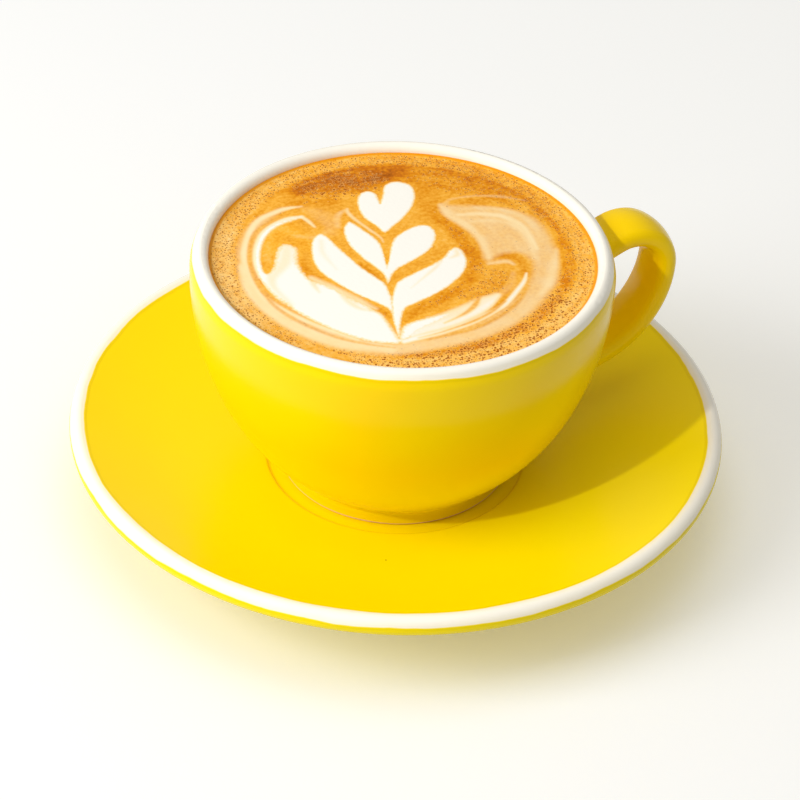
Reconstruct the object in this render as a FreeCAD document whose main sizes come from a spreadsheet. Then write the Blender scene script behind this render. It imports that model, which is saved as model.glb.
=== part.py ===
import FreeCAD, Part
import math
import os
import re

import Sketcher

# A cup of cappuccino: a glazed bowl-shaped cup with a strap handle, its wide saucer, and the drink.
# Millimetres. The origin is at the middle of the saucer's foot, on the table. +Z is up and the
# handle points along +X. Three separate things that are only stacked: the cup stands by its foot
# in the saucer's shallow well, and the drink fills the bowl from its floor to just below the brim.

DOC = FreeCAD.newDocument("cup_of_cappuccino")

# Driving dimensions: alias, value, what it is.
SIZES = [
    # saucer
    ("saucer_radius", 75.0, "outermost radius of the saucer, at its rolled lip"),
    ("saucer_height", 20.35, "top of the lip above the table"),
    ("saucer_lip", 2.35, "radius of the roll that makes the lip"),
    ("dish_radius", 200.0, "radius of the hollow curve from the well up to the lip"),
    ("under_radius", 240.0, "radius of the curve underneath, from the foot ring to the lip"),
    ("well_floor", 7.8, "floor of the well above the table"),
    ("well_gap", 3.0, "well radius beyond the cup's foot"),
    ("well_step", 0.6, "height of the small step round the well"),
    ("base_thickness", 4.8, "thickness of the saucer under the well"),
    ("ring_radius", 41.0, "outer radius of the saucer's foot ring"),
    ("ring_width", 4.6, "width of the flat that stands on the table"),
    ("ring_height", 4.2, "where the curve underneath meets the foot ring"),
    ("ring_draft", 0.8, "how much the foot ring narrows towards the table on each side"),
    ("ring_round", 0.6, "rounding of the foot ring's edges"),
    # cup
    ("cup_radius", 47.5, "greatest outer radius of the bowl, at its shoulder"),
    ("cup_height", 57.2, "top of the brim above the cup's foot"),
    ("shoulder_drop", 4.5, "the shoulder lies this far below the brim"),
    ("flank_radius", 73.0, "upper curve of the flank, seen from the side"),
    ("belly_height", 24.9, "height at which that curve hands over to the belly's"),
    ("wall", 4.2, "thickness of the wall"),
    ("brim_round", 1.65, "rounding over the brim"),
    ("floor_thickness", 7.0, "inside floor of the bowl above the foot's lower edge"),
    ("floor_corner", 16.0, "inside radius between the floor and the flank"),
    ("foot_radius", 26.4, "outer radius of the cup's foot"),
    ("foot_height", 3.3, "height at which the bowl springs from the foot"),
    ("spring_inset", 0.5, "the bowl springs from the foot this far inside the foot's radius"),
    ("foot_blend", 1.4, "hollow rounding between the foot and the bowl"),
    ("foot_edge", 0.45, "small bevel round the foot's lower edge, left bare of glaze"),
    ("foot_rim", 4.0, "width of the flat under the foot"),
    ("foot_recess", 1.6, "depth of the hollow under the foot"),
    # handle
    ("handle_reach", 17.0, "middle of the strap beyond the bowl's greatest radius, at its furthest"),
    ("handle_drop", 15.6, "that furthest point lies this far below the brim"),
    ("handle_low", 17.5, "middle of the strap's low run above the cup's foot"),
    ("handle_bend", 9.0, "radius of the small bend at the top"),
    ("handle_turn", 115.0, "turn of the small bend, in degrees"),
    ("strap_width", 12.8, "width of the strap"),
    ("strap_thickness", 6.0, "thickness of the strap"),
    ("strap_edge", 2.4, "radius of the strap's two edges"),
    ("strap_blend", 2.2, "rounding where the strap joins the bowl"),
    # drink
    ("fill_drop", 1.8, "the drink touches the wall this far below the brim"),
    ("meniscus_rise", 0.4, "rise of the surface where it meets the wall"),
    ("meniscus_width", 1.8, "width of that rise"),
    ("foam_crown", 0.35, "rise of the foam's middle above its edge"),
]

SHEET = DOC.addObject("Spreadsheet::Sheet", "sizes")
for row, (alias, value, meaning) in enumerate(SIZES, start=1):
    SHEET.set(f"A{row}", meaning)
    SHEET.set(f"B{row}", str(value))
    SHEET.setAlias(f"B{row}", alias)
DOC.recompute()
ALIASES = {alias for alias, _, _ in SIZES}

# Places that more than one outline uses, as expressions of the sheet's names.
SHOULDER = "(cup_height - shoulder_drop)"
FLANK_DROP = "(cup_height - shoulder_drop - belly_height)"
FLANK_REACH = f"sqrt(flank_radius^2 - {FLANK_DROP}^2)"
SPRING = "(foot_radius - spring_inset)"
BELLY_ACROSS = f"(cup_radius - flank_radius + {FLANK_REACH} - {SPRING})"
BELLY_UP = "(belly_height - foot_height)"
BELLY_RADIUS = (
    f"(flank_radius * ({BELLY_ACROSS}^2 + {BELLY_UP}^2)"
    f" / (2 * ({BELLY_ACROSS} * {FLANK_REACH} - {BELLY_UP} * {FLANK_DROP})))"
)
BORE = "(cup_radius - wall)"
BRIM_ACROSS = "(cup_radius - wall + brim_round)"
BRIM_UP = "(cup_height - brim_round)"
WELL_RADIUS = "(foot_radius + well_gap)"
HANDLE_REACH = "(cup_radius + handle_reach)"
HANDLE_LEVEL = "(cup_height - handle_drop)"
HANDLE_SWEEP = "(cup_height - handle_drop - handle_low)"
RING_OUTER = "(ring_radius - ring_draft)"
RING_INNER = "(ring_radius - ring_width - ring_draft)"
RECESS_RADIUS = "(ring_radius - ring_width - ring_draft - ring_draft)"
RECESS_UP = "(well_floor - base_thickness)"
STEP_RADIUS = "(foot_radius + well_gap + well_step)"
STEP_UP = "(well_floor + well_step)"


def mm(expression):
    """Value of an expression of the sheet's names."""
    return float(SHEET.evalExpression(expression))


def bound(expression):
    """The expression as another object writes it, with the sheet's name before each alias."""
    return re.sub(r"[a-z_]+", lambda word: f"sizes.{word[0]}" if word[0] in ALIASES else word[0], expression)


def at(across, up):
    """A point of an upright plane, from two expressions."""
    return FreeCAD.Vector(mm(across), mm(up), 0)


def on_circle(centre, radius, height):
    """The point of a circle at a height, on its outer side."""
    return FreeCAD.Vector(centre.x + math.sqrt(radius**2 - (height - centre.y) ** 2), height, 0)


def along(start, end, distance):
    """The point a distance from start, on the way to end."""
    return start + (end - start).normalize() * distance


def meeting(first, first_radius, second, second_radius):
    """The upper one of the two points where two circles meet."""
    way = second - first
    gap = way.Length
    foot = (first_radius**2 - second_radius**2 + gap**2) / (2 * gap)
    side = math.sqrt(first_radius**2 - foot**2)
    across = FreeCAD.Vector(-way.y, way.x, 0).normalize()
    return along(first, second, foot) + across * side


class Outline:
    """A sketch on one of a body's own planes, with its measures bound to the sheet."""

    def __init__(self, body, role, name, offset="0"):
        plane = next(item for item in body.Origin.OriginFeatures if item.Role == role)
        self.sketch = body.newObject("Sketcher::SketchObject", name)
        self.sketch.AttachmentSupport = (plane, "")
        self.sketch.MapMode = "FlatFace"
        if offset != "0":
            self.sketch.setExpression("AttachmentOffset.Base.z", bound(offset))

    def line(self, start, end):
        return self.sketch.addGeometry(Part.LineSegment(start, end), False)

    def arc(self, centre, start, end):
        """An arc that runs anticlockwise from start to end."""
        circle = Part.Circle(centre, FreeCAD.Vector(0, 0, 1), (start - centre).Length)
        first = math.atan2(start.y - centre.y, start.x - centre.x)
        last = math.atan2(end.y - centre.y, end.x - centre.x)
        return self.sketch.addGeometry(Part.ArcOfCircle(circle, first, last), False)

    def tie(self, *words):
        return self.sketch.addConstraint(Sketcher.Constraint(*words))

    def bind(self, words, expression, unit=""):
        """A measure that follows an expression of the sheet's names."""
        number = self.tie(*words)
        self.sketch.renameConstraint(number, f"{words[0]}_{number}")
        self.sketch.setExpression(f"Constraints.{words[0]}_{number}", bound(expression) + unit)

    def across(self, edge, end, expression):
        self.bind(("DistanceX", -1, 1, edge, end, mm(expression)), expression)

    def up(self, edge, end, expression):
        self.bind(("DistanceY", -1, 1, edge, end, mm(expression)), expression)

    def pin(self, edge, end, across, up):
        self.across(edge, end, across)
        self.up(edge, end, up)

    def radius(self, edge, expression):
        self.bind(("Radius", edge, mm(expression)), expression)

    def join(self, *edges):
        """Each edge's end meets the next edge's start."""
        for first, second in zip(edges, edges[1:]):
            self.tie("Coincident", first, 2, second, 1)

    def smooth(self, first, first_end, second, second_end):
        self.tie("Tangent", first, first_end, second, second_end)

    def level(self, first, first_end, second, second_end):
        self.tie("Horizontal", first, first_end, second, second_end)

    def on_axis(self, edge, end):
        self.tie("PointOnObject", edge, end, -2)


def turned(body, kind, outline):
    """A revolution or groove of an outline, all the way round the upright axis."""
    feature = body.newObject(kind, f"turned_{outline.sketch.Name}")
    feature.Profile = outline.sketch
    feature.ReferenceAxis = (outline.sketch, ["V_Axis"])
    feature.Angle = 360
    DOC.recompute()
    return feature


def circles(shape, places):
    """Names of the level circular edges with the given radii and heights."""
    names = []
    for number, edge in enumerate(shape.Edges, start=1):
        if not isinstance(edge.Curve, Part.Circle):
            continue
        found = (edge.Curve.Radius, edge.Curve.Center.z)
        if any(math.dist(found, place) < 0.01 for place in places):
            names.append(f"Edge{number}")
    return names


def dressed(body, kind, size_name, expression, edges):
    """A fillet or chamfer of edges of the body as it is so far."""
    base = body.Tip
    feature = body.newObject(kind, f"{body.Name}_{size_name}_{len(body.Group)}")
    feature.Base = (base, edges)
    feature.setExpression("Radius" if kind.endswith("Fillet") else "Size", bound(expression))
    DOC.recompute()
    return feature


def make_saucer():
    body = DOC.addObject("PartDesign::Body", "saucer")
    body.Label = "saucer"
    outline = saucer_outline(body)
    turned(body, "PartDesign::Revolution", outline)
    ring_edges = circles(body.Shape, [
        (mm(RING_INNER), 0),
        (mm(RING_OUTER), 0),
        (mm(RECESS_RADIUS), mm(RECESS_UP)),
        (mm("ring_radius"), mm("ring_height")),
    ])
    dressed(body, "PartDesign::Fillet", "ring", "ring_round", ring_edges)
    step_edges = circles(body.Shape, [
        (mm(WELL_RADIUS), mm("well_floor")),
        (mm(STEP_RADIUS), mm(STEP_UP)),
    ])
    dressed(body, "PartDesign::Fillet", "step", "well_step", step_edges)
    return body


def saucer_outline(body):
    """Half of the saucer's section: recess, foot ring, underside, lip, dish, step and well."""
    lip = at("saucer_radius - saucer_lip", "saucer_height - saucer_lip")
    lip_radius = mm("saucer_lip")
    dish_start = at(STEP_RADIUS, STEP_UP)
    dish = meeting(dish_start, mm("dish_radius"), lip, mm("dish_radius") + lip_radius)
    under_start = at("ring_radius", "ring_height")
    under = meeting(under_start, mm("under_radius"), lip, mm("under_radius") - lip_radius)
    dish_end = along(lip, dish, lip_radius)
    under_end = along(lip, under, -lip_radius)
    corners = [
        at("0", RECESS_UP),
        at(RECESS_RADIUS, RECESS_UP),
        at(RING_INNER, "0"),
        at(RING_OUTER, "0"),
        under_start,
    ]
    well = at(WELL_RADIUS, "well_floor")
    middle = at("0", "well_floor")

    out = Outline(body, "XZ_Plane", "saucer_outline")
    roof = out.line(corners[0], corners[1])
    inside = out.line(corners[1], corners[2])
    flat = out.line(corners[2], corners[3])
    outside = out.line(corners[3], corners[4])
    below = out.arc(under, under_start, under_end)
    roll = out.arc(lip, under_end, dish_end)
    hollow = out.arc(dish, dish_start, dish_end)
    step = out.line(dish_start, well)
    floor = out.line(well, middle)
    axis = out.line(middle, corners[0])

    out.join(roof, inside, flat, outside, below)
    out.smooth(below, 2, roll, 1)
    out.smooth(roll, 2, hollow, 2)
    out.tie("Coincident", hollow, 1, step, 1)
    out.join(step, floor, axis, roof)
    out.tie("Horizontal", roof)
    out.tie("Horizontal", floor)
    out.on_axis(roof, 1)
    out.on_axis(floor, 2)
    out.pin(inside, 1, RECESS_RADIUS, RECESS_UP)
    out.across(flat, 1, RING_INNER)
    out.across(flat, 2, RING_OUTER)
    out.tie("PointOnObject", flat, 1, -1)
    out.tie("PointOnObject", flat, 2, -1)
    out.pin(below, 1, "ring_radius", "ring_height")
    out.pin(roll, 3, "saucer_radius - saucer_lip", "saucer_height - saucer_lip")
    out.radius(below, "under_radius")
    out.radius(roll, "saucer_lip")
    out.radius(hollow, "dish_radius")
    out.pin(hollow, 1, STEP_RADIUS, STEP_UP)
    out.pin(floor, 1, WELL_RADIUS, "well_floor")
    return out


def make_cup():
    body = DOC.addObject("PartDesign::Body", "cup")
    body.Label = "cup"
    turned(body, "PartDesign::Revolution", cup_outline(body))
    blend_edge = circles(body.Shape, [(mm(SPRING), mm("foot_height"))])
    dressed(body, "PartDesign::Fillet", "foot", "foot_blend", blend_edge)
    add_handle(body)
    turned(body, "PartDesign::Groove", cavity_outline(body))
    turned(body, "PartDesign::Groove", recess_outline(body))
    under_foot = circles(body.Shape, [(mm("foot_radius"), 0), (mm("foot_radius - foot_rim"), 0)])
    dressed(body, "PartDesign::Chamfer", "foot", "foot_edge", under_foot)
    body.setExpression(".Placement.Base.z", "sizes.well_floor")
    return body


def cup_outline(body):
    """Half of the bowl's outer form as if it were full: foot, belly, flank, shoulder and brim."""
    shoulder = at("cup_radius", SHOULDER)
    flank_centre = at("cup_radius - flank_radius", SHOULDER)
    handover = on_circle(flank_centre, mm("flank_radius"), mm("belly_height"))
    belly_centre = along(handover, flank_centre, mm(BELLY_RADIUS))
    spring = at(SPRING, "foot_height")
    brim_centre = at(BRIM_ACROSS, BRIM_UP)
    inset = mm("cup_radius") - brim_centre.x
    rise = brim_centre.y - shoulder.y
    lean_radius = (inset**2 + rise**2 - mm("brim_round") ** 2) / (2 * (inset - mm("brim_round")))
    lean_centre = FreeCAD.Vector(shoulder.x - lean_radius, shoulder.y, 0)
    brim_start = along(lean_centre, brim_centre, lean_radius)
    crest = at(BRIM_ACROSS, "cup_height")
    top = at("0", "cup_height")
    toe = at("foot_radius", "0")
    middle = at("0", "0")

    out = Outline(body, "XZ_Plane", "cup_outline")
    base = out.line(middle, toe)
    foot = out.line(toe, spring)
    belly = out.arc(belly_centre, spring, handover)
    flank = out.arc(flank_centre, handover, shoulder)
    lean = out.arc(lean_centre, shoulder, brim_start)
    brim = out.arc(brim_centre, brim_start, crest)
    cover = out.line(crest, top)
    axis = out.line(top, middle)

    out.join(axis, base, foot, belly)
    out.smooth(belly, 2, flank, 1)
    out.join(flank, lean)
    out.smooth(lean, 2, brim, 1)
    out.join(brim, cover, axis)
    out.tie("Horizontal", base)
    out.tie("Horizontal", cover)
    out.tie("Coincident", base, 1, -1, 1)
    out.on_axis(cover, 2)
    out.across(base, 2, "foot_radius")
    out.pin(belly, 1, SPRING, "foot_height")
    out.up(flank, 1, "belly_height")
    out.radius(flank, "flank_radius")
    out.pin(flank, 2, "cup_radius", SHOULDER)
    out.level(flank, 3, flank, 2)
    out.level(lean, 3, lean, 1)
    out.pin(brim, 3, BRIM_ACROSS, BRIM_UP)
    out.radius(brim, "brim_round")
    out.tie("Vertical", brim, 3, brim, 2)
    return out


def draw_inside(out):
    """The bowl's inside from the middle of its floor to the shoulder, shared by cup and drink."""
    floor_up = mm("floor_thickness")
    corner_radius = mm("floor_corner")
    flank_radius = mm("flank_radius - wall")
    belly_radius = mm(f"{BELLY_RADIUS} - wall")
    inside_end = f"({SHOULDER} - (flank_radius - wall) * {FLANK_DROP} / flank_radius)"
    shoulder = at(BORE, SHOULDER)
    flank_centre = at("cup_radius - flank_radius", SHOULDER)
    handover = on_circle(flank_centre, flank_radius, mm(inside_end))
    belly_centre = along(handover, flank_centre, belly_radius)
    corner_centre = on_circle(belly_centre, belly_radius - corner_radius, floor_up + corner_radius)
    corner_end = along(belly_centre, corner_centre, belly_radius)
    corner_start = FreeCAD.Vector(corner_centre.x, floor_up, 0)

    floor = out.line(at("0", "floor_thickness"), corner_start)
    corner = out.arc(corner_centre, corner_start, corner_end)
    belly = out.arc(belly_centre, corner_end, handover)
    flank = out.arc(flank_centre, handover, shoulder)
    out.on_axis(floor, 1)
    out.up(floor, 1, "floor_thickness")
    out.tie("Horizontal", floor)
    out.smooth(floor, 2, corner, 1)
    out.radius(corner, "floor_corner")
    out.smooth(corner, 2, belly, 1)
    out.radius(belly, f"{BELLY_RADIUS} - wall")
    out.smooth(belly, 2, flank, 1)
    out.up(flank, 1, inside_end)
    out.radius(flank, "flank_radius - wall")
    out.pin(flank, 2, BORE, SHOULDER)
    out.level(flank, 3, flank, 2)
    return floor, flank


def cavity_outline(body):
    """Half of the space inside the bowl, with the inner half of the rounded brim."""
    clear = "(cup_height + brim_round)"
    out = Outline(body, "XZ_Plane", "cavity_outline")
    floor, flank = draw_inside(out)
    wall = out.line(at(BORE, SHOULDER), at(BORE, BRIM_UP))
    brim = out.arc(at(BRIM_ACROSS, BRIM_UP), at(BRIM_ACROSS, "cup_height"), at(BORE, BRIM_UP))
    side = out.line(at(BRIM_ACROSS, "cup_height"), at(BRIM_ACROSS, clear))
    cover = out.line(at(BRIM_ACROSS, clear), at("0", clear))
    axis = out.line(at("0", clear), at("0", "floor_thickness"))
    out.join(flank, wall)
    out.tie("Coincident", wall, 2, brim, 2)
    out.tie("Coincident", brim, 1, side, 1)
    out.join(side, cover, axis, floor)
    out.tie("Vertical", wall)
    out.tie("Vertical", side)
    out.tie("Horizontal", cover)
    out.pin(brim, 3, BRIM_ACROSS, BRIM_UP)
    out.up(wall, 2, BRIM_UP)
    out.tie("Vertical", brim, 3, brim, 1)
    out.up(cover, 1, clear)
    out.on_axis(cover, 2)
    return out


def recess_outline(body):
    """Half of the shallow hollow under the cup's foot."""
    inner = "(foot_radius - foot_rim)"
    out = Outline(body, "XZ_Plane", "recess_outline")
    base = out.line(at("0", "0"), at(inner, "0"))
    side = out.line(at(inner, "0"), at(inner + " - foot_recess", "foot_recess"))
    roof = out.line(at(inner + " - foot_recess", "foot_recess"), at("0", "foot_recess"))
    axis = out.line(at("0", "foot_recess"), at("0", "0"))
    out.join(base, side, roof, axis, base)
    out.tie("Coincident", base, 1, -1, 1)
    out.tie("Horizontal", base)
    out.tie("Horizontal", roof)
    out.across(base, 2, inner)
    out.pin(roof, 1, inner + " - foot_recess", "foot_recess")
    out.on_axis(roof, 2)
    return out


def add_handle(body):
    """The strap handle: one section led along a low run, a long sweep, a small bend and a lead-in."""
    root = f"({BORE} - strap_width)"
    sweep_across = f"({HANDLE_REACH} - {HANDLE_SWEEP})"
    bend_across = f"({HANDLE_REACH} - handle_bend)"
    turn = math.radians(mm("handle_turn"))
    bend_centre = at(bend_across, HANDLE_LEVEL)
    crown = bend_centre + FreeCAD.Vector(math.cos(turn), math.sin(turn), 0) * mm("handle_bend")
    tangent = FreeCAD.Vector(math.sin(turn), -math.cos(turn), 0)
    lead_start = crown - tangent * ((crown.x - mm(BORE)) / tangent.x)

    path = Outline(body, "XZ_Plane", "handle_path")
    run = path.line(at(root, "handle_low"), at(sweep_across, "handle_low"))
    furthest = at(HANDLE_REACH, HANDLE_LEVEL)
    sweep = path.arc(at(sweep_across, HANDLE_LEVEL), at(sweep_across, "handle_low"), furthest)
    bend = path.arc(bend_centre, furthest, crown)
    lead = path.line(crown, lead_start)
    path.tie("Horizontal", run)
    path.across(run, 1, root)
    path.smooth(run, 2, sweep, 1)
    path.smooth(sweep, 2, bend, 1)
    path.smooth(bend, 2, lead, 1)
    path.up(run, 1, "handle_low")
    path.radius(bend, "handle_bend")
    path.pin(sweep, 2, HANDLE_REACH, HANDLE_LEVEL)
    path.level(sweep, 3, sweep, 2)
    path.across(lead, 2, BORE)
    path.bind(("Angle", bend, turn), "handle_turn", " * 1 deg")

    section = strap_section(body, root)
    DOC.recompute()
    strap = body.newObject("PartDesign::AdditivePipe", "strap")
    strap.Profile = section.sketch
    strap.Spine = (path.sketch, [f"Edge{number}" for number in range(1, 5)])
    strap.Transition = "Transformed"
    DOC.recompute()
    joints = strap_joints(body.Shape)
    dressed(body, "PartDesign::Fillet", "strap", "strap_blend", joints)


def strap_section(body, root):
    """The strap's section: two nearly flat faces and two rounded edges."""
    edge_across = "(strap_width / 2 - strap_edge)"
    half = "(strap_thickness / 2)"
    face_radius = f"(({edge_across}^2 + {half}^2 - strap_edge^2) / (2 * ({half} - strap_edge)))"
    radius = mm(face_radius)
    right = at(edge_across, "handle_low")
    left = at("-" + edge_across, "handle_low")
    upper = at("0", f"handle_low + {half} - {face_radius}")
    lower = at("0", f"handle_low - {half} + {face_radius}")
    upper_right = along(upper, right, radius)
    upper_left = along(upper, left, radius)
    lower_right = along(lower, right, radius)
    lower_left = along(lower, left, radius)

    out = Outline(body, "YZ_Plane", "strap_section", root)
    edge_right = out.arc(right, lower_right, upper_right)
    face_upper = out.arc(upper, upper_right, upper_left)
    edge_left = out.arc(left, upper_left, lower_left)
    face_lower = out.arc(lower, lower_left, lower_right)
    ring = (edge_right, face_upper, edge_left, face_lower, edge_right)
    for first, second in zip(ring, ring[1:]):
        out.smooth(first, 2, second, 1)
    out.pin(edge_right, 3, edge_across, "handle_low")
    out.pin(edge_left, 3, "-" + edge_across, "handle_low")
    out.radius(edge_right, "strap_edge")
    out.radius(edge_left, "strap_edge")
    out.radius(face_upper, face_radius)
    out.radius(face_lower, face_radius)
    return out


def strap_joints(shape):
    """Names of the edges where the strap meets the bowl: on the bowl's face, beside the handle's plane."""
    names = []
    half_width = mm("strap_width / 2") + 1
    for number, edge in enumerate(shape.Edges, start=1):
        box = edge.BoundBox
        beside = max(abs(box.YMin), abs(box.YMax)) < half_width and box.XMin > mm("foot_radius")
        if not beside or box.ZLength < 0.01:
            continue
        middle = edge.valueAt((edge.FirstParameter + edge.LastParameter) / 2)
        if abs(math.hypot(middle.x, middle.y) - bowl_reach(middle.z)) < 0.05:
            names.append(f"Edge{number}")
    return names


def bowl_reach(height):
    """Outer radius of the bowl at a height between the foot and the shoulder."""
    flank_centre = at("cup_radius - flank_radius", SHOULDER)
    handover = on_circle(flank_centre, mm("flank_radius"), mm("belly_height"))
    if height > handover.y:
        return on_circle(flank_centre, mm("flank_radius"), height).x
    belly_centre = along(handover, flank_centre, mm(BELLY_RADIUS))
    return on_circle(belly_centre, mm(BELLY_RADIUS), height).x


def make_drink():
    body = DOC.addObject("PartDesign::Body", "cappuccino")
    body.Label = "cappuccino"
    contact = "(cup_height - fill_drop)"
    surface = "(cup_height - fill_drop - meniscus_rise)"
    inner = f"({BORE} - meniscus_width)"
    rise_radius = "((meniscus_width^2 + meniscus_rise^2) / (2 * meniscus_rise))"
    crown_radius = f"(({inner}^2 + foam_crown^2) / (2 * foam_crown))"
    crown_up = f"({surface} + foam_crown)"

    out = Outline(body, "XZ_Plane", "drink_outline")
    floor, flank = draw_inside(out)
    wall = out.line(at(BORE, SHOULDER), at(BORE, contact))
    rise_centre = at(inner, f"{surface} + {rise_radius}")
    rise = out.arc(rise_centre, at(inner, surface), at(BORE, contact))
    crown_centre = at("0", f"{crown_up} - {crown_radius}")
    crown = out.arc(crown_centre, at(inner, surface), at("0", crown_up))
    axis = out.line(at("0", crown_up), at("0", "floor_thickness"))
    out.join(flank, wall)
    out.tie("Vertical", wall)
    out.up(wall, 2, contact)
    out.tie("Coincident", wall, 2, rise, 2)
    out.pin(rise, 1, inner, surface)
    out.tie("Vertical", rise, 3, rise, 1)
    out.tie("Coincident", rise, 1, crown, 1)
    out.on_axis(crown, 3)
    out.on_axis(crown, 2)
    out.up(crown, 2, crown_up)
    out.join(crown, axis, floor)
    turned(body, "PartDesign::Revolution", out)
    body.setExpression(".Placement.Base.z", "sizes.well_floor")
    return body


def check(bodies):
    """Stop with a message when anything failed to build."""
    for item in DOC.Objects:
        if "Invalid" in item.State or "Error" in item.State:
            raise RuntimeError(f"{item.Name} failed: {item.State}")
    for body in bodies:
        shape = body.Shape
        if shape.isNull() or not shape.isValid() or len(shape.Solids) != 1:
            raise RuntimeError(f"{body.Label} has no single valid solid")


PARTS = [make_saucer(), make_cup(), make_drink()]
DOC.recompute()
check(PARTS)
os.makedirs("parts", exist_ok=True)
for part in PARTS:
    part.Shape.exportStep(f"parts/{part.Label}.step")
    box = part.Shape.optimalBoundingBox(False)
    print(f"{part.Label}: {part.Shape.Volume / 1000:.1f} cm3, z {box.ZMin:.2f} to {box.ZMax:.2f}")
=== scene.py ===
# %% [markdown]
# # A cup of cappuccino, in three materials
# The real thing is three objects that stand in one another: a wide stoneware saucer, a bowl-shaped cup
# with a strap handle, and the drink. The saucer and the cup come from the frame as they are, because their
# shapes are right, and here they only get their glazes. The drink is made anew, because its leaf, its
# crema and its froth are what one looks at. The first cell loads the frame and measures its parts' boxes.

# %% The frame
import math

import bpy
import numpy as np
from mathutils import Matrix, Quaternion, Vector


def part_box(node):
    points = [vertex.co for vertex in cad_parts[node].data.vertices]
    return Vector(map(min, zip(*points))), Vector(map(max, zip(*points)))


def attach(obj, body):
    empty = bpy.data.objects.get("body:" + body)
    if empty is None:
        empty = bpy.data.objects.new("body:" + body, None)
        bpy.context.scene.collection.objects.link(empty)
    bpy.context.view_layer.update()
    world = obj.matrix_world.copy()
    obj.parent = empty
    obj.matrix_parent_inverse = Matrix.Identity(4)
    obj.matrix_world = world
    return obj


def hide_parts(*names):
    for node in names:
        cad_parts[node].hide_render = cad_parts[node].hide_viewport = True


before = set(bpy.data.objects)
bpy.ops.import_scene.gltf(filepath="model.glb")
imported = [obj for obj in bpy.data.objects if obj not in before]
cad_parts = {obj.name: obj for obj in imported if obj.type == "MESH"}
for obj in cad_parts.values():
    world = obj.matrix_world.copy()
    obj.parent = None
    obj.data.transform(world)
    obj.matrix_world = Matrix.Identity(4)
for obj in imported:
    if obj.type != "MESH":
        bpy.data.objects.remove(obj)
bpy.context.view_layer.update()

MM = 0.001
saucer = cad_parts["saucer"]
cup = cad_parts["cup"]
drink_low, drink_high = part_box("cappuccino")
cup_low, cup_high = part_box("cup")
_, saucer_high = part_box("saucer")
print("nodes", sorted(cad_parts), "height", round(cup_high.z / MM, 2), "mm")

# %% [markdown]
# ## Where the circles are
# Every glaze line and every foam ring is a circle about the cup's axis, so the places below are radii and
# heights in millimetres. They hang on the frame's boxes: if the cup is made taller or wider, they follow.
# The inside of the cup is measured from the drink's own solid, ring by ring, since it fills the bowl. Rings
# close to the top are left out, because they belong to the drink's surface.

# %% Radii and heights in millimetres
BRIM_TOP = cup_high.z / MM
BRIM_RADIUS = -cup_low.x / MM
SAUCER_RADIUS = saucer_high.x / MM
SAUCER_TOP = saucer_high.z / MM
WELL_FLOOR = cup_low.z / MM
BORE = drink_high.x / MM
CONTACT = drink_high.z / MM
WALL = BRIM_RADIUS - BORE
SURFACE_ZONE = 1.5


def rings_of(node):
    """Radius of a turned solid at each height where its mesh has a ring, from the bottom up, in mm."""
    points = np.array([v.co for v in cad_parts[node].data.vertices]) / MM
    heights = np.round(points[:, 2], 2)
    radii = np.hypot(points[:, 0], points[:, 1])
    return [(float(h), float(radii[heights == h].max())) for h in np.unique(heights)]


bowl = [(h, r) for h, r in rings_of("cappuccino") if h < CONTACT - SURFACE_ZONE]
print("bore", round(BORE, 2), "wall", round(WALL, 2), "rings down the bowl", len(bowl))

# %% [markdown]
# ## The camera
# It looks down on the cup from the side away from the handle, through a long lens, so the circles stay
# close to true ellipses. It is placed by its bearing, its height and its distance from a point on the
# cup's axis, and then rolled a little, as a camera in the hand is.

# %% Camera
AIM = Vector((0.6, -0.3, 23.6)) * MM
BEARING = math.radians(24.46)
ELEVATION = math.radians(36.53)
DISTANCE = 0.757
ROLL = math.radians(2.53)
LENS = 148.5
SENSOR = 36


def new_object(name, data):
    """An object for a mesh, a lamp or a camera, linked to the scene."""
    thing = bpy.data.objects.new(name, data)
    bpy.context.scene.collection.objects.link(thing)
    return thing


camera = new_object("camera", bpy.data.cameras.new("camera"))
camera.data.lens = LENS
camera.data.sensor_width = SENSOR
camera.data.clip_start = 0.01
towards = Vector((-math.sin(BEARING) * math.cos(ELEVATION),
                  -math.cos(BEARING) * math.cos(ELEVATION),
                  math.sin(ELEVATION)))
camera.location = AIM + towards * DISTANCE
camera.rotation_mode = "QUATERNION"
camera.rotation_quaternion = (-towards).to_track_quat("-Z", "Y") @ Quaternion((0, 0, 1), ROLL)
bpy.context.scene.camera = camera
print("camera at", [round(c, 3) for c in camera.location])

# %% [markdown]
# ## Short words for shader nodes
# A node tree reads like a recipe once adding a node takes one line. `add` makes a node and joins or sets
# its inputs, and the words after it cover most of what the finishes need: arithmetic, a soft step between
# two values, noise, and a blend of two colours. Colours are written as a painter's 0 to 255.


# %% Node helpers
def join(tree, sockets, values):
    """Joins each socket, by name or number, to another socket, or sets it to a value."""
    for name, value in values.items():
        if isinstance(value, bpy.types.NodeSocket):
            tree.links.new(value, sockets[name])
        else:
            sockets[name].default_value = value


def add(tree, kind, inputs=(), **settings):
    """A new node with its settings made and its inputs joined or set."""
    node = tree.nodes.new(kind)
    for name, value in settings.items():
        setattr(node, name, value)
    join(tree, node.inputs, dict(inputs))
    return node


def maths(tree, operation, *values):
    return add(tree, "ShaderNodeMath", enumerate(values), operation=operation).outputs[0]


def times(tree, first, second):
    return maths(tree, "MULTIPLY", first, second)


def plus(tree, first, second):
    return maths(tree, "ADD", first, second)


def minus(tree, first, second):
    return maths(tree, "SUBTRACT", first, second)


def larger(tree, first, second):
    return maths(tree, "MAXIMUM", first, second)


def ramp(tree, value, start, end, low=0.0, high=1.0, kind="SMOOTHSTEP"):
    """A soft step: low until the value reaches start, high from end on."""
    places = {"Value": value, "From Min": start, "From Max": end, "To Min": low, "To Max": high}
    return add(tree, "ShaderNodeMapRange", places, interpolation_type=kind).outputs[0]


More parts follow.
